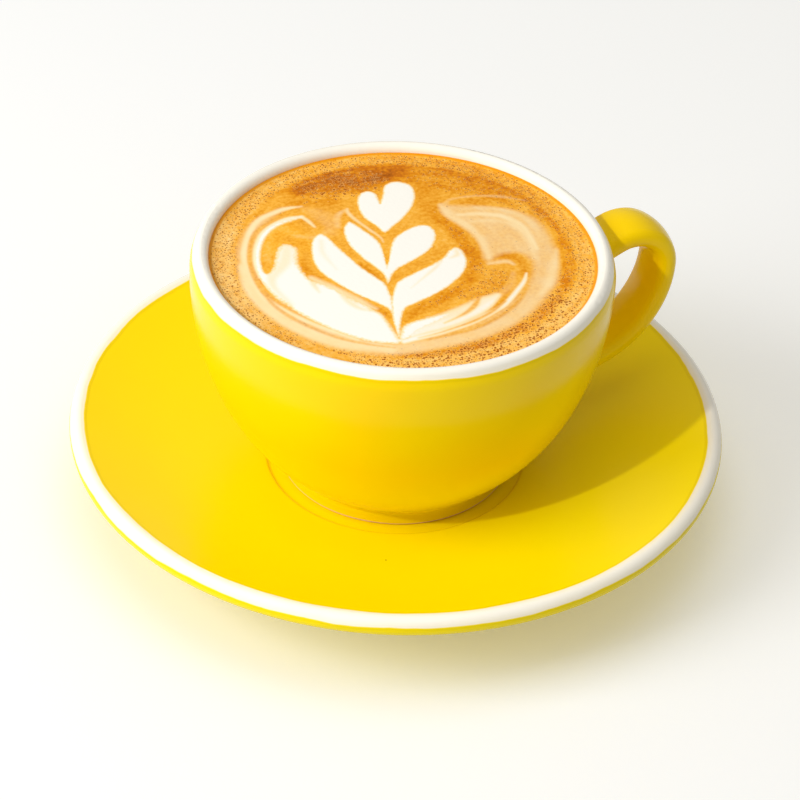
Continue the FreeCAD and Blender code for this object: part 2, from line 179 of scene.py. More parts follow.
def noise(tree, place, size, detail=2.0):
    """Noise whose lumps are about size millimetres across, on a place in millimetres."""
    values = {"Vector": place, "Scale": 1 / size, "Detail": detail}
    return add(tree, "ShaderNodeTexNoise", values).outputs["Fac"]


def blend(tree, amount, first, second):
    """The first colour, or as much of the second as the amount says."""
    return add(tree, "ShaderNodeMix", {0: amount, 6: first, 7: second}, data_type="RGBA").outputs[2]


def paint(red, green, blue):
    """A colour as it looks on paper, turned into the linear light that shaders use."""
    parts = [c / 255 for c in (red, green, blue)]
    return (*[p / 12.92 if p < 0.04045 else ((p + 0.055) / 1.055) ** 2.4 for p in parts], 1.0)


print("paint(255, 217, 0) is", [round(c, 3) for c in paint(255, 217, 0)])

# %% [markdown]
# ## Places on a turned object
# Three materials ask the same question: how far is this point from the axis, how high is it, and where is
# it in millimetres? That is a node group, built once, so that all of them measure alike.


# %% Group: turned place
def new_group(name, inputs, outputs, tree_kind="ShaderNodeTree"):
    """An empty node group, the sockets inside it that give its inputs, and those that take its outputs."""
    group = bpy.data.node_groups.new(name, tree_kind)
    for way, sockets in (("INPUT", inputs), ("OUTPUT", outputs)):
        for label, kind in sockets.items():
            group.interface.new_socket(label, in_out=way, socket_type="NodeSocket" + kind)
    return group, group.nodes.new("NodeGroupInput").outputs, group.nodes.new("NodeGroupOutput").inputs


def use(tree, group, inputs=()):
    """The outputs of a group that is placed in a tree."""
    return add(tree, "ShaderNodeGroup", inputs, node_tree=group).outputs


def scaled(tree, vector, factor):
    return add(tree, "ShaderNodeVectorMath", {0: vector, "Scale": factor}, operation="SCALE").outputs[0]


def parts_of(tree, vector):
    return add(tree, "ShaderNodeSeparateXYZ", {0: vector}).outputs


def vector_of(tree, *parts):
    return add(tree, "ShaderNodeCombineXYZ", enumerate(parts)).outputs[0]


turned_place, _, answers = new_group("turned_place", {},
                                     {"Place": "Vector", "Radius": "Float", "Height": "Float"})
in_mm = scaled(turned_place, add(turned_place, "ShaderNodeTexCoord").outputs["Object"], 1 / MM)
x_part, y_part, z_part = parts_of(turned_place, in_mm)
outwards = add(turned_place, "ShaderNodeVectorMath", {0: vector_of(turned_place, x_part, y_part)},
               operation="LENGTH")
join(turned_place, answers, {"Place": in_mm, "Radius": outwards.outputs["Value"], "Height": z_part})
print("group", turned_place.name, [s.name for s in turned_place.interface.items_tree])

# %% [markdown]
# ## The glaze
# Both pieces were dipped twice: all over in white, then rim up in yellow, so that a white lip is left.
# Where the yellow ends it wanders by a few tenths of a millimetre, stands proud as a soft step, and pools
# to a darker, greener thread. The yellow is deeper in slow patches and lemon in places, and round the
# cup's foot painted shade darkens it to amber, where cup and saucer shade each other. It could be painted
# on an unwrapped map, but its lines are circles, so a node group works it out from distances in
# millimetres: Dip, how far a point lies within the yellow, and Wiped, how far it lies within the foot that
# is wiped bare so that it doesn't stick to the kiln shelf. The other two inputs say how lemon the coat is
# and how much painted shade darkens it. The material round the group says where all this lies on its own
# piece.

# %% Group: dipped glaze, its coats
YELLOW = paint(255, 217, 0)
YELLOW_THICK = paint(255, 212, 0)
YELLOW_LEMON = paint(255, 232, 0)
YELLOW_POOLED = paint(222, 190, 0)
# Painted shade: dark amber laid on the glaze round the cup's foot and in the saucer's well, where they
# shade each other.
YELLOW_PAINTED_SHADE = paint(190, 106, 0)
WHITE = paint(251, 246, 233)
WHITE_THIN = paint(250, 241, 216)
WANDER = 1.1


def centred(tree, value):
    """Noise moved down, so that it swings about zero."""
    return minus(tree, value, 0.5)


glaze, given, answers = new_group(
    "dipped_glaze", {"Dip": "Float", "Wiped": "Float", "Lemon": "Float", "Painted shade": "Float"},
    {"Colour": "Color", "Roughness": "Float", "Height": "Float"})
place = use(glaze, turned_place)["Place"]
slow = noise(glaze, place, 24, detail=1)
waver = times(glaze, centred(glaze, noise(glaze, place, 13, detail=3)), WANDER)
dip = plus(glaze, given["Dip"], waver)
is_yellow = ramp(glaze, dip, -0.14, 0.14)
pool = times(glaze, ramp(glaze, dip, 0.0, 0.3), ramp(glaze, dip, 0.95, 0.45))
yellow = blend(glaze, ramp(glaze, slow, 0.35, 0.7), YELLOW, YELLOW_THICK)
yellow = blend(glaze, given["Lemon"], yellow, YELLOW_LEMON)
yellow = blend(glaze, times(glaze, pool, 0.38), yellow, YELLOW_POOLED)
# Painted shade: the coat is darkened towards amber as far as the fourth input says.
yellow = blend(glaze, given["Painted shade"], yellow, YELLOW_PAINTED_SHADE)
white = blend(glaze, ramp(glaze, dip, -1.6, -0.1), WHITE, WHITE_THIN)
coat = blend(glaze, is_yellow, white, yellow)
print("two coats in", len(glaze.nodes), "nodes")

# %% [markdown]
# ## Specks, bare clay and the skin of the glaze
# Iron in the clay burns through as a rare speck: a Voronoi cell has one where its own random number is
# high. The wiped foot shows matt clay. A fired glaze also has the faint skin of an orange and slow waves
# that bend its reflections. They are too fine to model, so they are a height for a Bump node.

# %% Group: dipped glaze, its specks and relief
SPECK = paint(92, 66, 20)
CLAY = paint(226, 178, 148)
CLAY_DARK = paint(176, 128, 96)
CELLS_PER_MM = 0.11

cells = add(glaze, "ShaderNodeTexVoronoi", {"Vector": place, "Scale": CELLS_PER_MM}).outputs
chosen = ramp(glaze, add(glaze, "ShaderNodeSeparateColor", {0: cells["Color"]}).outputs[0], 0.93, 0.94)
speck = times(glaze, ramp(glaze, cells["Distance"], 0.036, 0.022), chosen)
coat = blend(glaze, times(glaze, speck, 0.8), coat, SPECK)

grit = noise(glaze, place, 0.35, detail=3)
is_bare = ramp(glaze, plus(glaze, given["Wiped"], times(glaze, waver, 0.3)), -0.06, 0.06)
clay = blend(glaze, ramp(glaze, grit, 0.4, 0.7, 0.0, 0.35), CLAY, CLAY_DARK)
gloss = ramp(glaze, slow, 0.3, 0.7, 0.19, 0.25)

skin = times(glaze, noise(glaze, place, 2.6, detail=1), 0.006)
waves = times(glaze, noise(glaze, place, 17, detail=1), 0.12)
step = ramp(glaze, dip, -0.45, 0.35, 0.0, 0.09)
sand = times(glaze, times(glaze, grit, is_bare), 0.05)
relief = plus(glaze, plus(glaze, skin, waves), plus(glaze, step, sand))
join(glaze, answers, {
    "Colour": blend(glaze, is_bare, coat, clay),
    "Roughness": maths(glaze, "MULTIPLY_ADD", is_bare, 0.55, gloss),
    "Height": minus(glaze, relief, times(glaze, speck, 0.03))})
print("glaze group has", len(glaze.nodes), "nodes")

# %% [markdown]
# ## Glaze on the saucer
# The white lip of the saucer runs from a ring on its upper side, round the edge, to a ring on its outside.
# Yellow lies inside the first or below the second, so the distance to the dip line is the larger of the
# two. The coat is more lemon towards the middle, and painted shade darkens it a little in the well, round
# the cup's foot. Only the flat of the foot ring underneath is wiped. The same function makes the cup's
# material, with other lines.

# %% Saucer glaze
SHINE_TINT = (1.0, 0.9, 0.3, 1.0)
SAUCER_BAND_IN = SAUCER_RADIUS - 3.35
SAUCER_BAND_OUT = SAUCER_TOP - 1.55
WELL_EDGE = 29.4


def new_material(name):
    """A material with nodes, its tree, and the inputs of its Principled BSDF."""
    material = bpy.data.materials.new(name)
    material.use_nodes = True
    return material, material.node_tree, material.node_tree.nodes["Principled BSDF"].inputs


def glazed(name, lines_of, wiped_below):
    """A glossy glaze, bare below a height. lines_of gets tree, radius and height, and returns the distance
    to the dip line, how much painted shade darkens the coat, and how lemon it is."""
    material, tree, principled = new_material(name)
    where = use(tree, turned_place)
    wiped = minus(tree, wiped_below, where["Height"])
    dip, painted_shade, lemon = lines_of(tree, where["Radius"], where["Height"])
    finish = use(tree, glaze, {"Dip": dip, "Wiped": wiped, "Lemon": lemon, "Painted shade": painted_shade})
    bump = add(tree, "ShaderNodeBump", {"Height": finish["Height"], "Distance": MM})
    join(tree, principled, {
        "Base Color": finish["Colour"], "Roughness": finish["Roughness"], "Normal": bump.outputs[0],
        "IOR": 1.46, "Specular IOR Level": 0.36, "Specular Tint": SHINE_TINT})
    return material


def saucer_lines(tree, radius, height):
    inside_ring = minus(tree, SAUCER_BAND_IN, radius)
    below_ring = minus(tree, SAUCER_BAND_OUT, height)
    # Painted shade: a darker ring in the saucer's well round the cup's foot, where the cup shades it.
    painted_shade = ramp(tree, radius, WELL_EDGE + 2.0, WELL_EDGE - 0.6, 0.0, 0.12)
    lemon = ramp(tree, radius, 66.0, 44.0, 0.7, 1.0)
    return larger(tree, inside_ring, below_ring), painted_shade, lemon


saucer.data.materials[0] = glazed("saucer_glaze", saucer_lines, 0.25)
print("saucer: white from radius", round(SAUCER_BAND_IN, 2), "to height", round(SAUCER_BAND_OUT, 2))

# %% [markdown]
# ## Glaze on the cup
# The cup is white inside and over its brim, and yellow below a ring on its outside, handle and all. Inside
# and outside lie at the same heights, so the material also needs the bowl's own curve: a Float Curve holds
# the radius of the middle of the wall at each height, taken from the rings measured above. A point that is
# nearer to the axis than that is inside, and white. The coat turns to lemon low on the bowl, and round the
# foot, in the corner that it makes with the saucer, painted shade darkens it towards amber.

# %% Cup glaze
CUP_BAND = BRIM_TOP - 1.75
UNDER_BOWL = 3
CURVE_POINTS = 12


def middle_of_wall(tree, height):
    """The radius of the middle of the cup's wall at a height, in mm, as a curve node."""
    low, high = bowl[0][0], bowl[-1][0]
    share = ramp(tree, height, low, high, kind="LINEAR")
    node = add(tree, "ShaderNodeFloatCurve", {"Value": share})
    curve = node.mapping.curves[0]
    heights, radii = zip(*bowl)
    places = np.linspace(0, 1, CURVE_POINTS)
    values = (np.interp(low + places * (high - low), heights, radii) + WALL / 2) / BRIM_RADIUS
    curve.points[0].location = (0.0, values[0])
    curve.points[1].location = (1.0, values[-1])
    for at, value in zip(places[1:-1], values[1:-1]):
        curve.points.new(at, value)
    node.mapping.update()
    return times(tree, node.outputs[0], BRIM_RADIUS)


def cup_lines(tree, radius, height):
    below_ring = minus(tree, CUP_BAND, height)
    outside = minus(tree, radius, middle_of_wall(tree, height))
    under = minus(tree, bowl[0][0] - UNDER_BOWL, height)
    # Painted shade: the foot is darkened in the corner where the cup stands in the saucer.
    painted_shade = ramp(tree, height, WELL_FLOOR + 4.6, WELL_FLOOR + 1.6, 0.0, 0.32)
    lemon = ramp(tree, height, WELL_FLOOR + 28.0, WELL_FLOOR + 12.0)
    return maths(tree, "MINIMUM", below_ring, larger(tree, outside, under)), painted_shade, lemon


cup.data.materials[0] = glazed("cup_glaze", cup_lines, WELL_FLOOR + 0.55)
print("cup: white above", round(CUP_BAND, 2), "mm")

# %% [markdown]
# ## The drink, as a body
# The drink fills the bowl, so its sides are the bowl's own rings, and its top is a disc. The disc is a
# honeycomb: ring k has six times k points, so its triangles are all alike, just under a third of a
# millimetre across, with none of the crowding that a wheel of spokes has at its hub. Its outermost ring
# reaches a little into the wall, so no slit can show between drink and cup. The surface is slightly
# crowned, and climbs the wall in a meniscus.

# %% Mesh of the drink
DISC_RINGS = 152
INTO_WALL = 0.15
MENISCUS_WIDTH = 1.8
MENISCUS_RISE = 0.4
CROWN = 0.35
edge = BORE + INTO_WALL


def honeycomb(rings, radius):
    """Points and triangles of a flat disc whose ring k has 6k points."""
    points = [(0.0, 0.0)]
    for k in range(1, rings + 1):
        turn = np.arange(6 * k) * (2 * math.pi / (6 * k))
        reach = radius * k / rings
        points.extend(zip(reach * np.cos(turn), reach * np.sin(turn)))
    faces = [(0, 1 + j, 1 + (j + 1) % 6) for j in range(6)]
    for k in range(2, rings + 1):
        inner, outer = 1 + 3 * (k - 1) * (k - 2), 1 + 3 * k * (k - 1)
        for j in range(6 * k):
            sixth, along = divmod(j, k)
            a, b = outer + j, outer + (j + 1) % (6 * k)
            c = inner + (sixth * (k - 1) + along) % (6 * (k - 1))
            faces.append((c, a, b))
            if along < k - 1:
                d = inner + (sixth * (k - 1) + along + 1) % (6 * (k - 1))
                faces.append((c, b, d))
    return np.array(points), faces


disc, disc_faces = honeycomb(DISC_RINGS, edge)
reach = np.hypot(disc[:, 0], disc[:, 1])
surface = CONTACT - MENISCUS_RISE + CROWN * np.clip(1 - (reach / (BORE - MENISCUS_WIDTH)) ** 2, 0, None)
climb = np.clip((reach - BORE + MENISCUS_WIDTH) / MENISCUS_WIDTH, 0, 1)
surface += MENISCUS_RISE * climb ** 2
print("disc", len(disc), "points,", len(disc_faces), "triangles, step", round(edge / DISC_RINGS, 3), "mm")

# %% [markdown]
# ## How a leaf is poured
# Milk and crema are drawn on the disc with two tools. A *shape* is a closed outline, for milk with a clean
# edge: the heart, the two pairs of leaves, and the base. A *stroke* is a soft line whose width changes
# along it, for threads of crema in the milk, veils of milk in the crema, and darker or paler bands. Both
# are given by a few points, in millimetres across the cup and away along the leaf's stem, joined by
# smooth curves. What the disc stores is the distance to a shape's edge, or the strength of a stroke, at
# every point: the shader turns them into edges, so they stay crisp close up.

# %% Drawing tools
LEAF_TURN = math.radians(24.4)
across = disc[:, 0] * math.cos(LEAF_TURN) - disc[:, 1] * math.sin(LEAF_TURN)
away = disc[:, 0] * math.sin(LEAF_TURN) + disc[:, 1] * math.cos(LEAF_TURN)
PER_SPAN = 5
SHAPE_ROOM = 3
FAR_OUTSIDE = -9.0


def smooth(points):
    """A curve through the points, a few short steps to each span; further columns ride along."""
    p = np.array(points, float)
    p = np.vstack([2 * p[0] - p[1], p, 2 * p[-1] - p[-2]])
    t = np.arange(PER_SPAN)[:, None] / PER_SPAN
    spans = []
    for a, b, c, d in zip(p, p[1:], p[2:], p[3:]):
        spans.append(0.5 * (2 * b + (c - a) * t + (2 * a - 5 * b + 4 * c - d) * t ** 2
                            + (3 * b - a - 3 * c + d) * t ** 3))
    return np.vstack(spans + [p[-2:-1]])


def nearest(line, x, y):
    """Distance from each point to a polyline, and where along it, as a row number with a fraction."""
    best, where = np.full(len(x), 1e9), np.zeros(len(x))
    for i, (start, end) in enumerate(zip(line, line[1:])):
        dx, dy = end[0] - start[0], end[1] - start[1]
        t = np.clip(((x - start[0]) * dx + (y - start[1]) * dy) / max(dx * dx + dy * dy, 1e-12), 0, 1)
        d = np.hypot(x - start[0] - t * dx, y - start[1] - t * dy)
        closer = d < best
        best[closer], where[closer] = d[closer], i + t[closer]
    return best, where


def inside(outline, x, y):
    """True where a point lies in a closed outline."""
    result = np.zeros(len(x), bool)
    for (x0, y0), (x1, y1) in zip(outline, np.roll(outline, -1, axis=0)):
        if y0 != y1:
            result ^= ((y0 > y) != (y1 > y)) & (x < x0 + (y - y0) * (x1 - x0) / (y1 - y0))
    return result


def points_near(line, room):
    """True for the disc's points in a line's box, widened by a room on all sides."""
    low, high = line.min(axis=0) - room, line.max(axis=0) + room
    return (across > low[0]) & (across < high[0]) & (away > low[1]) & (away < high[1])


def shape(*runs):
    """Distance into a shape in mm, negative outside. Runs are smooth, and meet at corners."""
    outline = np.vstack([smooth(run) for run in runs])
    depth = np.full(len(across), FAR_OUTSIDE)
    near = points_near(outline, SHAPE_ROOM)
    x, y = across[near], away[near]
    distance = nearest(np.vstack([outline, outline[:1]]), x, y)[0]
    depth[near] = np.where(inside(outline, x, y), distance, -distance)
    return depth


def stroke(strength, soft, points):
    """Strength of a soft line through points (across, away, half width)."""
    line = smooth(points)
    mask = np.zeros(len(across))
    near = points_near(line, line[:, 2].max() + soft + 0.5)
    distance, where = nearest(line[:, :2], across[near], away[near])
    half = np.interp(where, np.arange(len(line)), line[:, 2])
    t = np.clip((half + soft / 2 - distance) / soft, 0, 1)
    mask[near] = strength * t * t * (3 - 2 * t)
    return mask


print("leaf axis turned", round(math.degrees(LEAF_TURN), 1), "degrees")

# %% [markdown]
# ## The milk
# The pour starts as a wide base, is pushed into two pairs of leaves, and ends in a heart, and the last
# draw of the jug pulls a thread of crema down the middle of them all. So each shape comes to a point on
# that thread.

# %% Milk shapes
TIP = (-0.1, -31.2)
heart = shape(
    [(-4.2, 8.4), (-6.3, 12), (-9.1, 15.2), (-10.7, 19.6), (-10.9, 23.6), (-9.9, 25.8), (-8.5, 26.4),
     (-7.2, 25.6), (-6.5, 24), (-5.8, 21.4)],
    [(-5.8, 21.4), (-5.3, 25.2), (-5, 28.8), (-3.6, 30.6), (-1.8, 31), (0.5, 30.1), (1.7, 27.7),
     (2, 24.2), (1.2, 19.9), (-0.8, 15.2), (-3.1, 11.4), (-4.2, 8.4)])
upper_leaves = shape(
    [(-3.2, -10.6), (-4.2, -7), (-6.4, -4.1), (-9.3, -0.6), (-11.7, 3.2), (-13.2, 7.2), (-13.5, 10.9),
     (-12.7, 13.4)],
    [(-12.7, 13.4), (-11.2, 12.3), (-9, 9.8), (-6.7, 7.2), (-5.1, 4.2), (-4.1, 0), (-3.6, -3)],
    [(-3.6, -3), (-3.1, 1), (-2.7, 4.6), (-2, 7.6), (-0.2, 10.1), (2, 12.3), (4.2, 13.3), (6, 12.4),
     (7, 10), (6.9, 7.2), (5.9, 3.8), (3.8, 0.7), (0.8, -2.6), (-1.3, -4.9), (-2.3, -7.2), (-2.8, -9.6),
     (-3.2, -10.6)])
lower_left_leaf = shape(
    [TIP, (-1, -26.2), (-1.7, -23), (-2.6, -20.3), (-5, -18.3), (-9.8, -15.1), (-14.1, -11.4),
     (-17.6, -7.7), (-19.7, -3.4), (-20.5, 2), (-20.2, 6), (-18.8, 8.1)],
    [(-18.8, 8.1), (-17.2, 6.8), (-15, 3.3), (-12.2, -0.7), (-9.2, -4.8), (-6.2, -8), (-4.3, -10.1),
     (-3.2, -12.2), (-2.2, -16)],
    [(-2.2, -16), (-1.2, -24), TIP])
lower_right_leaf = shape(
    [TIP, (-1.6, -24), (-2.2, -16)],
    [(-2.2, -16), (-1.6, -12.5), (-0.9, -9.9), (1, -7.7), (3.6, -5.2), (6.6, -2.3), (9, 0.6), (10.2, 3.4),
     (11.7, 5), (13.2, 3.3), (14, 0.4), (14, -2.4), (12.9, -6.1), (10.2, -10.5), (6.8, -14.3),
     (2.8, -17.9), (1, -19.6), (0.3, -22.5), (0, -26.5), TIP])
leaves = (heart, upper_leaves, lower_left_leaf, lower_right_leaf)
print("heart and leaves cover", [round(100 * float((leaf > 0).mean()), 1) for leaf in leaves], "%")

# %% [markdown]
# ## The base
# The first pour stays at the foot of the leaf: a wide bowl of milk below the leaves, with a finger that
# runs up its left side and the swirl that it left behind. The swirl, far left, has a crisp edge. The rest
# is softer, and a depth that is divided by more than 1 makes it so.

# %% Milk base
base = shape(
    [(-26.1, 3.8), (-24.3, 2.6), (-23.5, 0.5), (-23.3, -3.5), (-22.3, -7), (-20.2, -9.8), (-16.5, -12.3),
     (-13, -14.6), (-10.2, -17.1), (-6.6, -19.9), (-4, -21.9), (-2.7, -24.3), (-1.5, -27.8), TIP],
    [TIP, (0.4, -27.5), (1.8, -25.2), (4.4, -23.2), (7.6, -21.4), (11, -19.3), (15, -15.8)],
    [(15, -15.8), (14.2, -18), (12, -20.6), (8.5, -24), (4.5, -27.6), (1.8, -31), (-0.5, -33)],
    [(-0.5, -33), (-6, -32.6), (-12.5, -30), (-18, -26.4), (-23, -22.3), (-27.2, -18), (-30.2, -13),
     (-32.2, -7.5), (-33, -1.5), (-32.8, 3.5), (-31.9, 7.4), (-30.3, 10.2), (-27.6, 12.8), (-25, 14.4),
     (-23.2, 14.7)],
    [(-23.2, 14.7), (-24.8, 13.2), (-27.6, 11.2), (-29.9, 8.3), (-31.2, 4.8), (-31.7, 1), (-31.6, -3),
     (-31, -6.6), (-29.9, -8.5), (-28.7, -6), (-28.4, -2), (-28, 1.4), (-27.2, 3.2), (-26.1, 3.8)])
base_softness = np.interp(across, [-31.0, -26.0], [1.0, 1.8])
milk = np.maximum.reduce([*leaves, base / base_softness])
print("milk covers", round(100 * float((milk > 0).mean())), "% of the surface")

# %% [markdown]
# ## Painting in layers
# The thin milk and the browns of the crema have no outlines: they are many soft bands over one another. So
# each is a field, a number at every point of the disc, painted as a painter lays glazes: `lay` brings the
# field to a level where a mask is 1, and the order matters. Masks are strokes, rings, sectors and shapes.


# %% Layers and masks
def lay(field, mask, level):
    """Paints a level over a field where the mask is 1."""
    return field + mask * (level - field)


def lay_strokes(field, rows):
    """Lays soft lines over a field in order. A row is level, strength, softness in mm, and points."""
    for level, strength, soft, points in rows:
        field = lay(field, stroke(strength, soft, points), level)
    return field


def fade(depth, soft):
    """A shape's depth as a mask with a soft edge."""
    t = np.clip(depth / soft + 0.5, 0, 1)
    return t * t * (3 - 2 * t)


def ring(inner, outer, soft=1.5):
    return np.clip((reach - inner) / soft + 0.5, 0, 1) * np.clip((outer - reach) / soft + 0.5, 0, 1)


def sector(centre, width, soft=25.0):
    """1 within a sector of the disc seen from the middle, fading out at its sides, in degrees."""
    off = np.abs((np.degrees(np.arctan2(away, across)) - centre + 180) % 360 - 180)
    return np.clip((width / 2 + soft / 2 - off) / soft, 0, 1)


print("a ring 3 mm wide at the wall covers", round(100 * float(ring(BORE - 3, BORE).mean())), "%")

# %% [markdown]
# ## Thin milk
# Round the leaves the milk is thin, and the crema shows through it in long curved bands, drawn out by the
# swirling of the cup. On the right the folds of the base lie side by side like the pages of a book, with a
# broad pale petal above them, which runs on as a crescent round the foot of the base and up its left side.
# The veil says how much milk there is.

# %% Veil: the petal and the edges of the leaves
petal = shape(
    [(8, 22.3), (12, 22.4), (18, 22.2), (24, 21.6), (28, 19.6), (31, 16), (33, 11), (34.2, 5), (34.8, -1),
     (34.2, -7), (32, -12.8), (29, -18.4), (24.8, -23.8), (19.8, -28.2), (14, -31.8), (8, -34.4),
     (2, -36.4), (-4, -37.3), (-12, -36.2), (-19.2, -33), (-26, -27.6), (-31.4, -20.8), (-35, -12.9),
     (-36.9, -4), (-36.8, 4), (-34.3, 12), (-29, 17.5), (-26, 18.6)],
    [(-26, 18.6), (-30, 13.6), (-33, 7), (-34, 0), (-33, -8), (-29.5, -16), (-23.5, -22.5), (-16, -28),
     (-8, -31.8), (-1, -32.6), (4, -31.2), (10, -28.4), (15, -25.2), (19.5, -21.2), (23, -17), (26, -12),
     (28, -7), (28.8, -3), (28.2, 1), (26, 3.6), (23, 3.4), (20.5, 1.5), (19, -0.5), (17.8, 1), (17.4, 4),
     (16.3, 8), (13.8, 12), (10.5, 16), (8, 19.5), (8, 22.3)])
veil = 0.25 * fade(petal, 3.0)
veil = lay_strokes(veil, [
    # Pale bands round the base and beside the leaves.
    (0.52, 0.9, 1.2, [(-23.6, 18.9, 0.2), (-26.8, 17.8, 0.5), (-29.3, 16.2, 0.6), (-33.1, 12.4, 0.6),
        (-34.9, 6, 0.6), (-35.2, -3, 0.6), (-33, -12.6, 0.5), (-28, -19.8, 0.5), (-20, -26.2, 0.5),
        (-9, -32.2, 0.4)]),
    (0.5, 0.9, 0.9, [(-23.4, 14.6, 0.4), (-22, 13.2, 0.5), (-20.2, 10.6, 0.3)]),
    (0.38, 0.9, 0.9, [(-13.2, 18.8, 0.2), (-12.9, 17, 0.5), (-11.4, 14.6, 0.5), (-9.4, 12.2, 0.4),
        (-7.4, 9.9, 0.4), (-5.4, 7.6, 0.3), (-4.6, 5.6, 0.2)]),
    (0.34, 0.8, 1.6, [(-13.4, 18.4, 0.2), (-14.8, 16.5, 0.6), (-15.4, 14, 0.8), (-15, 11, 0.5)]),
    (0.26, 0.7, 2.5, [(-24, 6.6, 0.6), (-20, 6.5, 0.8), (-16.8, 9, 1)]),
    # The petal's outline, and the bow at its foot.
    (0.22, 0.9, 1.2, [(7.6, 22, 0.3), (9, 22.6, 0.6), (10.2, 24.4, 0.6), (14, 26, 0.5), (18, 26.7, 0.5),
        (22, 26.7, 0.6), (27, 25.6, 0.3)]),
    (0.38, 0.8, 1.8, [(8, 21.8, 0.5), (9.5, 18.6, 1), (13, 14.8, 1), (16, 11, 0.8), (18, 6, 0.8),
        (19, 1.5, 0.6)]),
    (0.4, 0.8, 2, [(34.2, 6, 0.3), (33.6, 0, 0.8), (32.4, -7, 0.9), (30.4, -12, 0.5)]),
    (0.34, 0.9, 1.6, [(19, -1.2, 0.4), (21, -0.4, 0.7), (23, 0.2, 0.8), (24.6, -0.8, 0.4)]),
    (0.22, 0.8, 3, [(24.6, -4, 0.5), (24, -9, 1), (21.5, -12.5, 1), (18.5, -14.5, 0.6)])])
print("petal covers", round(100 * float((petal > 0).mean())), "% of the surface")

# %% Veil: the swirl, the pages and the folds
veil = lay_strokes(veil, [
    # The swirl round the base, and haze beside the leaves.
    (0.3, 0.9, 2, [(29.6, -13, 0.8), (26, -19.4, 1.4), (20.6, -25, 1.5), (13.4, -29.6, 1.5),
        (6, -32.8, 1.6), (-2, -35, 1.4)]),
    (0.42, 0.9, 2, [(-2, -34.8, 1.2), (-12, -33.4, 1.8), (-20.4, -29.2, 1.9), (-27.6, -22.8, 1.9),
        (-33, -14.8, 1.6), (-35.4, -6, 0.8)]),
    (0.46, 0.9, 2, [(-20, -9.6, 0.8), (-15, -13.4, 1), (-9.5, -17.4, 1), (-5.5, -20.4, 0.5)]),
    (0.17, 0.8, 4.5, [(-22, 17.6, 1.5), (-17.6, 14, 2.4), (-15.8, 8, 1)]),
    (0.72, 0.95, 1.4, [(-23.4, 14.6, 0.4), (-26.6, 13.4, 0.7), (-29.5, 10.6, 0.8), (-31.5, 7, 0.8),
        (-32.5, 2, 0.8), (-32.5, -4, 0.7), (-31, -10, 0.5)]),
    # The pages, from the inner one outwards.
    (0.64, 0.95, 2.4, [(3, -27.5, 1.6), (9, -24.2, 2.4), (14, -20.2, 2.4), (18, -16.2, 1.8),
        (20.6, -13.4, 0.6)]),
    (0.76, 0.95, 1.8, [(21.2, -13, 0.2), (19.6, -15.6, 0.8), (17.6, -18.6, 1), (14.9, -21.2, 0.9),
        (11.8, -23.4, 1.2), (8.8, -25.3, 1.2), (5.8, -27.2, 1), (2.5, -29.4, 1)]),
    (0.84, 0.95, 1, [(27.4, -4, 0.1), (26.9, -7, 0.4), (25.5, -10.6, 0.5), (22.9, -16, 0.5),
        (20.8, -18.7, 0.5), (18.2, -21.3, 0.7), (15.6, -23.6, 0.7), (12.5, -25.8, 0.7), (8.8, -28, 0.7),
        (5, -29.9, 0.7), (1, -31.9, 0.7)]),
    # Threads of crema between them, round the swirl and over the petal.
    (0.1, 0.95, 1, [(17.2, -13.8, 0.3), (16.2, -17, 0.7), (14.6, -19.8, 0.6), (12.2, -22.3, 0.3),
        (9.5, -24.6, 0.1)]),
    (0.12, 0.95, 0.9, [(22.8, -15.2, 0.3), (20.5, -18.6, 0.5), (18.1, -21.3, 0.5), (15.3, -23.7, 0.5),
        (12, -26, 0.4), (8, -28.5, 0.3), (4, -30.5, 0.1)]),
    (0.06, 0.95, 1, [(27.6, -9, 0.4), (26.2, -13.5, 0.5), (23.8, -18, 0.5), (20.6, -22, 0.5),
        (16.8, -25.4, 0.5), (12, -28.2, 0.4), (6, -31, 0.1)]),
    (0.1, 0.9, 0.8, [(-24, 16.2, 0.2), (-28.3, 13.9, 0.5), (-32.9, 8.4, 0.5), (-34.1, 3.8, 0.5),
        (-34.1, -2.2, 0.5), (-33, -8.3, 0.5), (-30.4, -15.3, 0.5), (-26.4, -19.7, 0.4), (-19.2, -25, 0.4),
        (-13, -29, 0.3), (-6, -32.4, 0.2)]),
    (0.1, 0.85, 1, [(-30.6, -15.6, 0.3), (-27.4, -20.8, 0.5), (-23.2, -25.2, 0.5), (-18, -29, 0.5),
        (-12.5, -31.9, 0.4), (-6.5, -33.6, 0.3), (-1, -34.4, 0.1)]),
    (0.03, 0.8, 1.2, [(10.6, 23.6, 0.3), (15, 25, 0.5), (20, 25.3, 0.5), (25.5, 24.2, 0.3)]),
    # The petal's folds.
    (0.34, 0.8, 1.8, [(12.5, 20.6, 0.2), (18, 21.6, 0.6), (24, 20.4, 0.7), (28.6, 16, 0.6),
        (31, 9, 0.2)]),
    (0.42, 0.7, 2.2, [(15, 15.6, 0.2), (20, 16.6, 0.5), (25, 14.6, 0.6), (28, 9, 0.5), (29.4, 2, 0.2)]),
    (0.6, 0.6, 1.8, [(12, 18.2, 0.2), (17, 19, 0.6), (22.5, 18.2, 0.7), (27, 14, 0.5), (29.8, 6, 0.2)])])
print("thin milk over", round(100 * float((veil > 0.15).mean())), "% of the surface")

# %% [markdown]
# ## Crema over the milk
# Here and there crema has run back over the white, as a film. It is a field of its own that is taken away
# from the milk: a shape's edge stays crisp under it, and only the white inside it dims.

